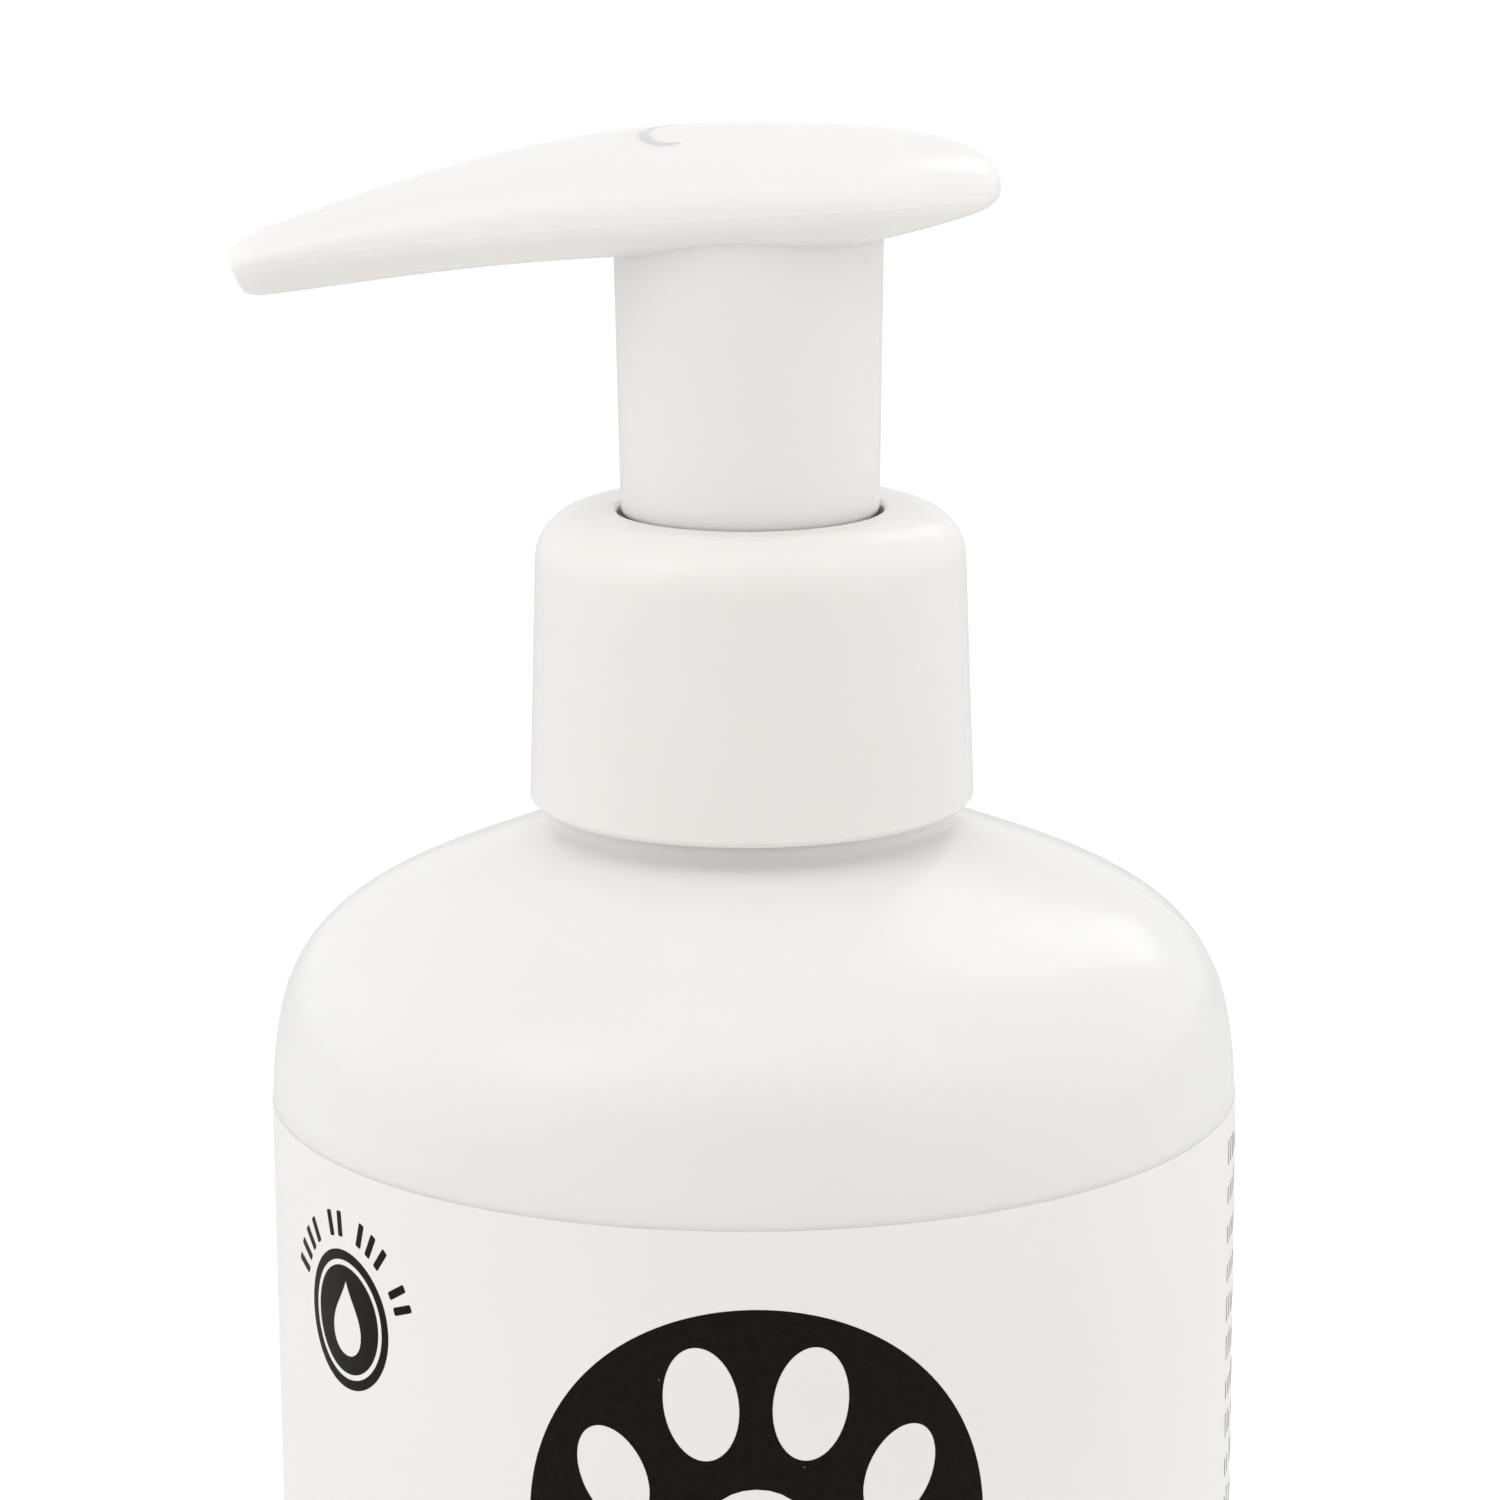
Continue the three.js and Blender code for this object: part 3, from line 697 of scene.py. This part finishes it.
def paw(centre, size):
    """Four toes and a pad, as outlines."""
    toes = [
        ellipse((-3.4, 8.1), (2.35, 3.7), 7),
        ellipse((3.4, 8.1), (2.35, 3.7), -7),
        ellipse((-9.0, 3.2), (2.1, 3.3), 24),
        ellipse((9.0, 3.2), (2.1, 3.3), -24),
    ]
    pad = cubic((0, 2.6), (3.0, 2.6), (3.6, -0.4), (5.6, -2.2), 10)
    pad += cubic((5.6, -2.2), (8.6, -5.0), (6.6, -9.4), (3.2, -8.9), 10)[1:]
    pad += cubic((3.2, -8.9), (1.6, -8.6), (0.8, -8.1), (0, -8.1), 5)[1:]
    pad += [(-x, y) for x, y in reversed(pad[1:-1])]
    return [enlarged(outline, centre, size) for outline in (*toes, pad)]


def emblem():
    """Front: a black disc with a white paw."""
    centre = (0, 102.2)
    disc = ellipse(centre, (16.4, 16.2), steps=160)
    return [[disc, *paw((centre[0], centre[1] + 0.2), 1.12)]]


def drop(centre, size):
    """A water drop, point up."""
    right = cubic((0, 1.25), (0.25, 0.65), (0.78, 0.25), (0.78, -0.35), 10)
    right += cubic((0.78, -0.35), (0.78, -0.85), (0.42, -1.15), (0, -1.15), 8)[1:]
    return enlarged(right + [(-x, y) for x, y in reversed(right[1:-1])], centre, size)


def badge():
    """Left of the front: a roundel with a drop, and an arc of ticks over it."""
    centre = (-34.2, 112.6)
    ring = ellipse(centre, (5.1, 5.2), steps=96)
    gap = ellipse(centre, (4.35, 4.45), steps=96)
    core = ellipse(centre, (3.95, 4.05), steps=96)
    shapes = [[ring, gap], [core, drop(centre, 2.35)]]
    groups = (4, 2, 3, 2)
    places = sum(groups) + len(groups) - 1
    low, high = 20, 160
    inner_r, outer_r = 6.15, 8.05
    half_width = 0.3
    place = 0
    for group in groups:
        for _ in range(group):
            a = math.radians(high - (high - low) * place / (places - 1))
            out = Vector((math.cos(a), math.sin(a)))
            side = Vector((-out.y, out.x)) * half_width
            near, far = Vector(centre) + out * inner_r, Vector(centre) + out * outer_r
            shapes.append([soft_polygon([near - side, near + side, far + side, far - side], 0.15, 3)])
            place += 1
        place += 1
    return shapes


def bar(x0, x1, y0, y1):
    """A bar with softened corners."""
    return [soft_polygon([(x0, y0), (x1, y0), (x1, y1), (x0, y1)], 0.2, 2)]


def stroke(x, y, width, height):
    """A plain upright stroke, given by its lower left corner."""
    return [[(x, y), (x + width, y), (x + width, y + height), (x, y + height)]]


def text_block(seed, left, right, top, rows, line, height, drift=0.0):
    """Rows of plain upright strokes in the rhythm of small print.

    line is the step from row to row, height a stroke's, and drift moves each row a little right.
    """
    rng = random.Random(seed)
    thick = 0.14 * height
    shapes = []
    for row in range(rows):
        y = top - line * row
        x = left + drift * row
        last = rng.random() < 0.18 or row == rows - 1
        end = left + (right - left) * (rng.uniform(0.35, 0.8) if last else rng.uniform(0.9, 1.0))
        while x < end:
            for _ in range(rng.choice((2, 3, 4, 5, 6, 8))):
                shapes.append(stroke(x, y, thick, height * rng.choice((1.0, 1.0, 1.4))))
                x += 0.8 * height
            x += 0.6 * height
    return shapes


def bar_code(left, low, width, height):
    """Upright bars of uneven width."""
    rng = random.Random(11)
    shapes = []
    x = left
    while x < left + width:
        thick = rng.choice((0.3, 0.3, 0.6, 0.9))
        shapes.append(stroke(x, low, thick, height))
        x += thick + rng.choice((0.35, 0.6, 0.9))
    return shapes


def make_print():
    """Everything printed on the label: no letters, only plain shapes."""
    printed("print_emblem", emblem())
    printed("print_badge", badge())
    name_lines = [bar(-15, 15, 76.2, 78.6), bar(-11.5, 11.5, 71.6, 72.9), bar(-8, 8, 68.6, 69.9)]
    foot = [bar(-5.5, 5.5, 20.0, 21.5), bar(-19, 19, 25.2, 25.5)]
    printed("print_front_lines", name_lines + foot)
    large = text_block(
        seed=5, left=47.4, right=100, top=120.0, rows=13, line=3.05, height=1.35, drift=0.045
    )
    small = text_block(seed=9, left=48.0, right=100, top=77.5, rows=12, line=2.6, height=1.1)
    printed("print_back_text", large + small)
    side = text_block(seed=21, left=-100, right=-62, top=118, rows=9, line=2.6, height=1.1)
    printed("print_side_text", side + bar_code(left=-98, low=60, width=30, height=18))


# ------------------------------------------------------------------ collar and pump


def make_collar():
    """Screw cap: a wall with draft, a round upper edge, the skirt's hole, and the pump's snap bead."""
    hole_edge = (COLLAR_HOLE_R + COLLAR_HOLE_ROUND, COLLAR_H - COLLAR_HOLE_ROUND)
    outline = [
        (COLLAR_BORE_R, 0.3), (14.32, 0.12), (14.5, 0.0), (16.0, 0.0), (16.1, 0.05),
        (16.38, 0.38), (16.43, 0.52), (16.4, 1.2), (16.13, 9.0), (15.86, 17.2),
        *arc((COLLAR_R - COLLAR_ROUND, COLLAR_H - COLLAR_ROUND), COLLAR_ROUND, 0, 90, 18),
        (10.4, COLLAR_H),
        *arc(hole_edge, COLLAR_HOLE_ROUND, 90, 180, 6),
        (COLLAR_HOLE_R, 20.2), (COLLAR_HOLE_R, 18.6), (9.95, 18.45), (11.45, 18.45), (11.6, 18.6),
        (11.6, 19.8), (11.8, 20.0), (13.4, 20.0), (13.6, 19.8), (13.6, 16.55), (12.98, 16.25),
        (12.95, 16.0), (13.05, 15.8), (14.1, 15.2), (COLLAR_BORE_R, 14.9), (COLLAR_BORE_R, 8),
    ]
    piece = made("collar_cap", turned(on_neck(outline), even(ROUND), closed=True))
    ridge = thread(COLLAR_BORE_R - 0.15, THREAD_LOW - PITCH / 2, turns=1.25)
    combine(piece, made("ridge", ridge), "UNION")
    finished(piece, "collar", closure_plastic, "collar")


def make_spring():
    """Open coils between one closed coil at each end, flattened onto their seats."""
    wire = 0.45  # radius of the wire
    coil = 4.9  # radius of the wire's middle line
    turns = 10.5
    closed, pitch = 1.0, 1.1
    low = SPRING_LOW - RIM_Z + wire
    high = SPRING_HIGH - RIM_Z - wire
    open_pitch = (high - low - 2 * closed * pitch) / (turns - 2 * closed)

    def height(turn):
        if turn < closed:
            return low + pitch * turn
        if turn > turns - closed:
            return high - pitch * (turns - turn)
        return low + pitch * closed + open_pitch * (turn - closed)

    def thick(turn):
        return wire if 0 < turn < turns else 0.0

    piece = made("spring_coil", helix(coil, turns, height, thick, per_turn=48, sides=14))
    finished(piece, "pump_unit", spring_steel, "return_spring")
    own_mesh(piece)


def box_piece(name, size, centre):
    """A bevelled block, for the plus-shaped rod and for cutting."""
    bm = bmesh.new()
    bmesh.ops.create_cube(bm, size=1.0)
    bmesh.ops.scale(bm, verts=bm.verts, vec=size)
    bmesh.ops.translate(bm, verts=bm.verts, vec=centre)
    bmesh.ops.bevel(bm, geom=list(bm.edges), offset=0.12, segments=3, affect="EDGES", profile=0.5)
    return made(name, bm)


def plus_piece(name, reach, thickness, low, high):
    """Two crossed blocks, between two heights on the neck."""
    size, middle = high - low, up((low + high) / 2)
    piece = box_piece(name, (2 * reach, thickness, size), (0, 0, middle))
    return combine(piece, box_piece("arm", (thickness, 2 * reach, size), (0, 0, middle)), "UNION")


def make_housing():
    """Flange, well for the skirt, chamber, ball seat and tube socket, with slots over the ball."""
    housing = ring_piece("housing_body", [
        (3.35, -54, 0.2), (4.6, -54, 0.25), (4.6, -39.5, 0.5), (7.75, -36, 0.5), (7.75, 4, 0.4),
        (10.7, 4, 0.6), (10.7, 16.65, 0.1), (13.3, 16.65, 0.15), (13.3, 18.15, 0.3),
        (9.9, 18.15, 0.3), (9.9, 5.2, 0.5), (7.75, 5.2, 0.4), (7.75, 16, 0.2), (6.75, 16, 0.3),
        (6.75, -35, 0.2), (1.9, -35, 0.1), (1.9, -36, 0.1), (3, -36, 0.1), (3, -40, 0.2),
        (1.6, -42, 0.3), (1.6, -43.5, 0.1), (3.35, -43.5, 0.1),
    ])
    combine(housing, plus_piece("slots", 3, 1.2, -36.2, -34.8), "DIFFERENCE")
    finished(housing, "pump_unit", pump_plastic, "pump_housing")


def make_guide():
    """Chaplet: the stem's guide and upper stop, snapped into the housing."""
    guide = ring_piece("stem_guide", [
        (5, 9, 0.15), (6.5, 9, 0.3), (6.5, 16.15, 0.1), (7.75, 16.15, 0.15), (7.75, 17.4, 0.2),
        (7.35, 17.8, 0.3), (4.3, 17.8, 0.3), (4.3, 15, 0.2), (5, 14.3, 0.2),
    ])
    finished(guide, "pump_unit", pump_plastic, "chaplet")


def make_gasket():
    """Foam ring between the bottle's rim and the pump's flange."""
    low, high = NECK_TOP + 0.15, 16.5
    gasket = ring_piece("gasket_ring", [
        (11.3, low, 0.15), (12.6, low, 0.15), (12.6, high, 0.15), (11.3, high, 0.15),
    ])
    finished(gasket, "pump_unit", gasket_foam, "neck_gasket")


def make_tube():
    """Dip tube with a slanted end, cut from a longer one."""
    inner, outer = 2.4, 3.2
    spare = 1
    slant = math.radians(30)
    wall = [(inner, TUBE_LOW - spare), (outer, TUBE_LOW - spare), (outer, TUBE_HIGH), (inner, TUBE_HIGH)]
    pipe = made("dip_tube_pipe", turned(rounded(wall), even(64), closed=True))
    bm = bmesh.new()
    bm.from_mesh(pipe.data)
    cut = bmesh.ops.bisect_plane(
        bm,
        geom=[*bm.verts, *bm.edges, *bm.faces],
        plane_co=Vector((outer, 0, TUBE_LOW)) * MM,
        plane_no=(math.sin(slant), 0, math.cos(slant)),
        clear_inner=True,
    )
    rim = [e for e in cut["geom_cut"] if isinstance(e, bmesh.types.BMEdge)]
    bmesh.ops.bridge_loops(bm, edges=rim)
    bmesh.ops.recalc_face_normals(bm, faces=bm.faces)
    bm.to_mesh(pipe.data)
    bm.free()
    finished(pipe, "pump_unit", tube_plastic, "dip_tube")


def make_piston():
    """Cup seal with a lip at either end."""
    cup = ring_piece("piston_cup", [
        (2.65, -0.4, 0.15), (6.15, -0.4, 0.2), (6.2, -1.2, 0.1), (6.6, -1.2, 0.15), (6.65, -0.6, 0.3),
        (6.65, 0.6, 0.3), (6.3, 1.4, 0.4), (6.3, 5.2, 0.4), (6.65, 6, 0.3), (6.65, 6.6, 0.2),
        (6.6, 7, 0.15), (6.25, 7, 0.1), (6.2, 5.9, 0.3), (2.65, 5.9, 0.2),
    ])
    finished(cup, "piston", piston_plastic, "piston")


def make_stem():
    """Tube that carries the shampoo up into the head, flared over the rod."""
    stem = ring_piece("stem_pipe", [
        (2.45, 7.2, 0.2), (5.9, 7.2, 0.3), (5.9, 8.7, 0.3), (4, 8.7, 0.3), (4, 30, 0.01),
        (4, 42, 0.2), (3.6, 42.5, 0.2), (2.45, 42.5, 0.2),
    ])
    finished(stem, "actuator", pump_plastic, "stem")


def make_rod():
    """Plus-shaped rod, wider below, with the disc that closes the piston between its two parts."""
    rod = plus_piece("rod_cross", 2.2, 1.3, -1.45, 14)
    combine(rod, plus_piece("guide", 3.9, 1.5, -14, -1.45), "UNION")
    edge = rounded([(0.4, -2.2, 0.0), (5.8, -2.2, 0.25), (5.8, -0.7, 0.25), (0.4, -0.7, 0.0)])
    disc = [(0, -2.2), *edge, (0, -0.7)]
    combine(rod, made("disc", turned(on_neck(disc), even(64))), "UNION")
    finished(rod, "plunger", pump_plastic, "piston_rod")


def make_ball():
    """Inlet valve's ball."""
    ball = bmesh.new()
    bmesh.ops.create_icosphere(ball, subdivisions=5, radius=2.25)
    bmesh.ops.translate(ball, verts=ball.verts, vec=BALL_MIDDLE)
    finished(made("valve_ball", ball), "ball", ball_steel, "inlet_ball")


# ------------------------------------------------------------------ pump head


def over(points):
    """Reads an outline drawn left to right as a height over x."""
    points = sorted(points)

    def height(x):
        for (x0, y0), (x1, y1) in zip(points, points[1:]):
            if x <= x1:
                return y0 + (y1 - y0) * (x - x0) / max(x1 - x0, 1e-9)
        return points[-1][1]

    return height


def head_sections():
    """Upper outline, lower outline, widest line and half-width of the head over x."""
    tip = (NOSE_X, 39.8)
    back = (BACK_X, 45.1)
    upper = quadratic(tip, (-37.1, 41.75), (-34.8, 42.55), 24)
    upper += cubic((-34.8, 42.55), (-22.8, 46.69), (-13.5, 49.8), (-0.5, 49.8), 40)[1:]
    upper += cubic((-0.5, 49.8), (5, 49.8), (10, 49.4), (13.6, 48.75), 24)[1:]
    upper += cubic((13.6, 48.75), (16.3, 48.15), (BACK_X, 47), back, 60)[1:]

    lower = quadratic(tip, (-37.1, 37.5), (-35.3, 37.6), 40)
    lower += cubic((-35.3, 37.6), (-28, 38.4), (-15, 41), (0, 40.55), 40)[1:]
    lower += cubic((0, 40.55), (5, 40.4), (12, 42.2), (16.5, 43.45), 30)[1:]
    lower += quadratic((16.5, 43.45), (BACK_X, 44), back, 60)[1:]

    middle = cubic(tip, (-25, 42), (-8, 44.6), back, 40)

    half = quadratic((NOSE_X, 0), (-38.3, 3.3), (-35.5, 3.75), 40)
    centre = BACK_X - HEAD_HALF
    half += cubic((-35.5, 3.75), (-24, 5.6), (-8, HEAD_HALF), (centre, HEAD_HALF), 40)[1:]
    half += arc((centre, 0), HEAD_HALF, 90, 0, 80)[1:]
    return over(upper), over(lower), over(middle), over(half)


def leaf():
    """The head's leaf as cross-sections from nose to back, with the parting line along its edge."""
    top, bottom, middle, half = head_sections()
    parting = [side + math.radians(d) for side in (0, math.pi) for d in (-0.7, -0.25, 0.25, 0.7)]
    columns = sorted(a % (2 * math.pi) for a in even(ROUND_SMALL) + parting)
    rows = 150
    fullness = 2.1  # of the lower half; 2 is an ellipse
    rings = []
    for i in range(rows + 1):
        x = NOSE_X + (BACK_X - NOSE_X) * (1 - math.cos(math.pi * i / rows)) / 2
        if i in (0, rows):
            rings.append([(x, 0, up(middle(x)))])
            continue
        ring = []
        for a in columns:
            rise = top(x) - middle(x) if math.sin(a) > 0 else middle(x) - bottom(x)
            line = 0.02 if abs(math.remainder(a, math.pi)) < math.radians(0.3) else 0
            wide = half(x) + min(line, half(x) / 9)
            power = 2 / (fullness if math.sin(a) < 0 else 2)
            across = math.copysign(abs(math.cos(a)) ** power, math.cos(a))
            above = math.copysign(abs(math.sin(a)) ** power, math.sin(a))
            ring.append((x, wide * across, up(middle(x) + rise * above)))
        rings.append(ring)
    return made("leaf", skinned(rings))


def straight(name, start, end, radius):
    """A round bar between two points of the head's middle plane, for joining and cutting."""
    a = Vector((start[0], 0, up(start[1])))
    b = Vector((end[0], 0, up(end[1])))
    along = (b - a).normalized()
    across = Vector((0, 1, 0))
    other = along.cross(across)
    sizes = [0, radius, radius, 0]
    return made(name, swept([a, a, b, b], lambda i: sizes[i], 48, lambda i: (across, other)))


def cut_nozzle_face(shell):
    """Cuts the leaf's nose off flat, leaning a little outwards at the top."""
    lean = math.atan2(0.9, 2.3)
    face = Vector((-37.35, 0, up(40.3))) * MM
    block = box_piece("tip_block", (10, 30, 30), (-5, 0, 0))
    block.data.transform(Matrix.Translation(face) @ Matrix.Rotation(-lean, 4, "Y"))
    combine(shell, block, "DIFFERENCE")


def hollow_space():
    """The space inside skirt and vault, around the socket for the stem and the channel's wall."""
    inner = 8.3  # radius of the hollow in the skirt
    pocket = [(0, SKIRT_LOW - 1), (8.6, SKIRT_LOW - 1), (8.6, SKIRT_LOW), (inner, SKIRT_LOW + 0.4)]
    pocket += [(inner, 44.6), *quadratic((inner, 44.9), (8.0, 46.6), (0, 47.8), 12)]
    hollow = made("pocket", turned(on_neck(pocket), even(64)))
    combine(hollow, straight("socket", (0, 32.5), (0, 48.5), 5.4), "DIFFERENCE")
    return combine(hollow, straight("channel", CHANNEL_BEND, NOZZLE, 3.1), "DIFFERENCE")


def bore_channel(shell):
    """Bores the socket for the stem and the channel, which narrows before the nozzle's face."""
    along = (Vector(NOZZLE) - Vector(CHANNEL_BEND)).normalized()
    narrow = Vector(NOZZLE) - along * 3
    beyond = Vector(NOZZLE) + along * 3
    combine(shell, straight("bore", (0, 31.5), (0, 43), 4.15), "DIFFERENCE")
    combine(shell, straight("duct", (0, 42), CHANNEL_BEND, 2.45), "DIFFERENCE")
    combine(shell, straight("way", CHANNEL_BEND, narrow, 1.7), "DIFFERENCE")
    combine(shell, straight("outlet", narrow, beyond, 1.2), "DIFFERENCE")


def make_head():
    """Leaf and skirt in one, hollow below, with the socket and the channel to the nozzle."""
    foot = arc((SKIRT_R - SKIRT_ROUND, SKIRT_LOW + SKIRT_ROUND), SKIRT_ROUND, -90, 0, 8)
    wall = [(SKIRT_R + SKIRT_DRAFT * (z - SKIRT_LOW), z) for z in (23, 28, 33, 38, SKIRT_TOP)]
    skirt = [(0, SKIRT_LOW), *foot, *wall, (0, SKIRT_TOP)]
    shell = leaf()
    cut_nozzle_face(shell)
    combine(shell, made("skirt", turned(on_neck(skirt), even(128))), "UNION")
    combine(shell, hollow_space(), "DIFFERENCE")
    bore_channel(shell)
    finished(shell, "actuator", head_plastic, "actuator_head", crease=40)


def make_mark():
    """Raised crescent on the crown of the head, thickest in its middle."""
    top, _, middle, half = head_sections()
    centre = Vector((-5.5, -2.5))
    radii = (1.95, 2.75)
    start, sweep = 65, 230  # degrees
    half_width, least_width = 0.36, 0.05
    height = 0.03
    sunk = 0.008  # of the edges, so that the crescent has no gap under it
    depth = 0.2
    steps = 48

    def crown(x, y):
        share = min(1.0, abs(y) / half(x))
        return up(middle(x) + (top(x) - middle(x)) * math.sqrt(1 - share * share))

    over_width = [k / 6 - 1 for k in range(13)]  # from one edge, -1, to the other, 1
    rings = []
    for i in range(steps + 1):
        a = math.radians(start + sweep * i / steps)
        swell = math.sin(math.pi * i / steps) ** 0.6
        out = Vector((math.cos(a), math.sin(a)))
        line = centre + Vector((radii[0] * out.x, radii[1] * out.y))
        across = out * (half_width * swell + least_width)
        raised = [(share, height * swell * (1 - share * share) ** 2 - sunk) for share in over_width]
        ring = []
        for share, rise in (*raised, (1, -depth), (-1, -depth)):
            spot = line + across * share
            ring.append((spot.x, spot.y, crown(spot.x, spot.y) + rise))
        rings.append(ring)
    finished(made("head_mark", capped(rings)), "actuator", head_plastic)


make_bottle()
make_label()
make_print()
make_collar()
make_housing()
make_guide()
make_gasket()
make_tube()
make_piston()
make_stem()
make_rod()
make_ball()
make_spring()
make_head()
make_mark()

# ------------------------------------------------------------------ camera


def make_camera():
    """A long lens in front of the pump, a little above it, looking slightly down."""
    data = bpy.data.cameras.new("camera")
    data.sensor_width = 36
    data.lens = 124.2
    data.clip_start = 0.01
    data.clip_end = 50
    camera = bpy.data.objects.new("camera", data)
    pitch, roll, yaw = math.radians(13.05), math.radians(-0.37), math.radians(-0.02)
    place = Vector((0, -373.1, up(89.95))) * MM
    ahead = Vector((math.sin(yaw) * math.cos(pitch), math.cos(yaw) * math.cos(pitch), -math.sin(pitch)))
    level = ahead.cross(Vector((0, 0, 1))).normalized()
    upright = level.cross(ahead)
    right = level * math.cos(roll) + upright * math.sin(roll)
    above = upright * math.cos(roll) - level * math.sin(roll)
    turn = Matrix((right, above, -ahead)).transposed().to_4x4()
    camera.matrix_world = Matrix.Translation(place) @ turn
    bpy.context.scene.collection.objects.link(camera)
    bpy.context.scene.camera = camera


make_camera()

# ------------------------------------------------------------------ floor and light


FLOOR_GLOW = (0.84, 0.66)  # share of the light that the floor throws back, before and behind the bottle
FLOOR_SIDES = (0.93, 1.05)  # factor on it, below the bottle and to its sides

# Spots in the tent: azimuth and elevation in degrees, change of brightness, and spread in degrees.
SPOTS = [
    (0, 90, -0.15, 40),  # a little darker overhead
    (-90, 65, 0.35, 20),  # lamp over the front, on shoulder and round edges
    (-90, 0, -0.48, 32),  # dark behind the viewer, which greys the middle of upright walls
    (180, 15, 0.24, 30),  # bright sides
    (0, 15, 0.24, 30),
    (-154, 46, 1.2, 15),  # two front lamps
    (-34, 48, 0.5, 15),
    (90, 30, -0.15, 22),  # darker behind, which draws the head's upper edge
]


def make_floor():
    """A wide floor, plain white where it is seen and a soft grey where it lights the bottle."""
    bm = bmesh.new()
    bmesh.ops.create_grid(bm, x_segments=8, y_segments=8, size=12000)
    floor = made("floor", bm, smooth=False)
    f = Finish("floor_white")
    seen = f.node("ShaderNodeLightPath").outputs["Is Camera Ray"]
    place = f.node("ShaderNodeSeparateXYZ", {0: f.place})
    glow = f.between(place.outputs["Y"], 0.1, 0.7, *FLOOR_GLOW)
    aside = f.math("ABSOLUTE", place.outputs["X"])
    glow = f.math("MULTIPLY", glow, f.between(aside, 0.1, 0.6, *FLOOR_SIDES))
    grey = f.node("ShaderNodeCombineColor", {0: glow, 1: glow, 2: glow}).outputs[0]
    tone = f.mix(seen, grey, (1.0, 1.0, 1.0, 1))
    f.set(Base_Color=tone, Roughness=0.9, Specular_IOR_Level=0.0)
    floor.data.materials.append(f.material)


def soft_box(name, place, target, size, strength):
    """A rectangular lamp that faces target, in metres; strength is its brightness as a surface."""
    data = bpy.data.lights.new(name, "AREA")
    data.shape = "RECTANGLE"
    data.size, data.size_y = size
    data.energy = strength * math.pi * size[0] * size[1]
    lamp = bpy.data.objects.new(name, data)
    look = (Vector(target) - Vector(place)).to_track_quat("-Z", "Y")
    lamp.matrix_world = Matrix.Translation(place) @ look.to_matrix().to_4x4()
    lamp.visible_camera = False
    bpy.context.scene.collection.objects.link(lamp)


def direction(azimuth, elevation):
    """The unit vector towards a place round the bottle, in degrees from +X and from the horizon."""
    a, e = math.radians(azimuth), math.radians(elevation)
    return Vector((math.cos(e) * math.cos(a), math.cos(e) * math.sin(a), math.sin(e)))


class Tent(Nodes):
    """The world as a light tent: its brightness is a sum of soft spots over an even glow."""

    def __init__(self, glow):
        world = bpy.data.worlds.new("tent")
        world.use_nodes = True
        bpy.context.scene.world = world
        super().__init__(world.node_tree)
        self.background = self.nodes["Background"]
        self.place = self.nodes.new("ShaderNodeTexCoord").outputs["Generated"]
        self.total = glow

    def spot(self, azimuth, elevation, change, spread):
        """Brightens or dims the tent round one direction; spread is degrees to half the change."""
        share = self.node("ShaderNodeVectorMath", {0: self.place}, operation="DOT_PRODUCT")
        share.inputs[1].default_value = direction(azimuth, elevation)
        facing = self.math("MAXIMUM", share.outputs["Value"], 0.0)
        power = math.log(0.5) / math.log(math.cos(math.radians(spread)))
        soft = self.math("MULTIPLY", self.math("POWER", facing, power), change)
        self.total = self.math("ADD", soft, self.total)

    def hang(self):
        self.feed(self.background, "Strength", self.total)
        self.background.inputs["Color"].default_value = (1.0, 1.0, 1.0, 1)


make_floor()
tent = Tent(1.01)
for spot in SPOTS:
    tent.spot(*spot)
tent.hang()
collar_middle = (0, 0, up(10) * MM)
soft_box("back_right_box", (0.386, 0.617, 0.675), collar_middle, size=(0.25, 0.6), strength=0.8)
bpy.context.scene.view_settings.view_transform = "Standard"
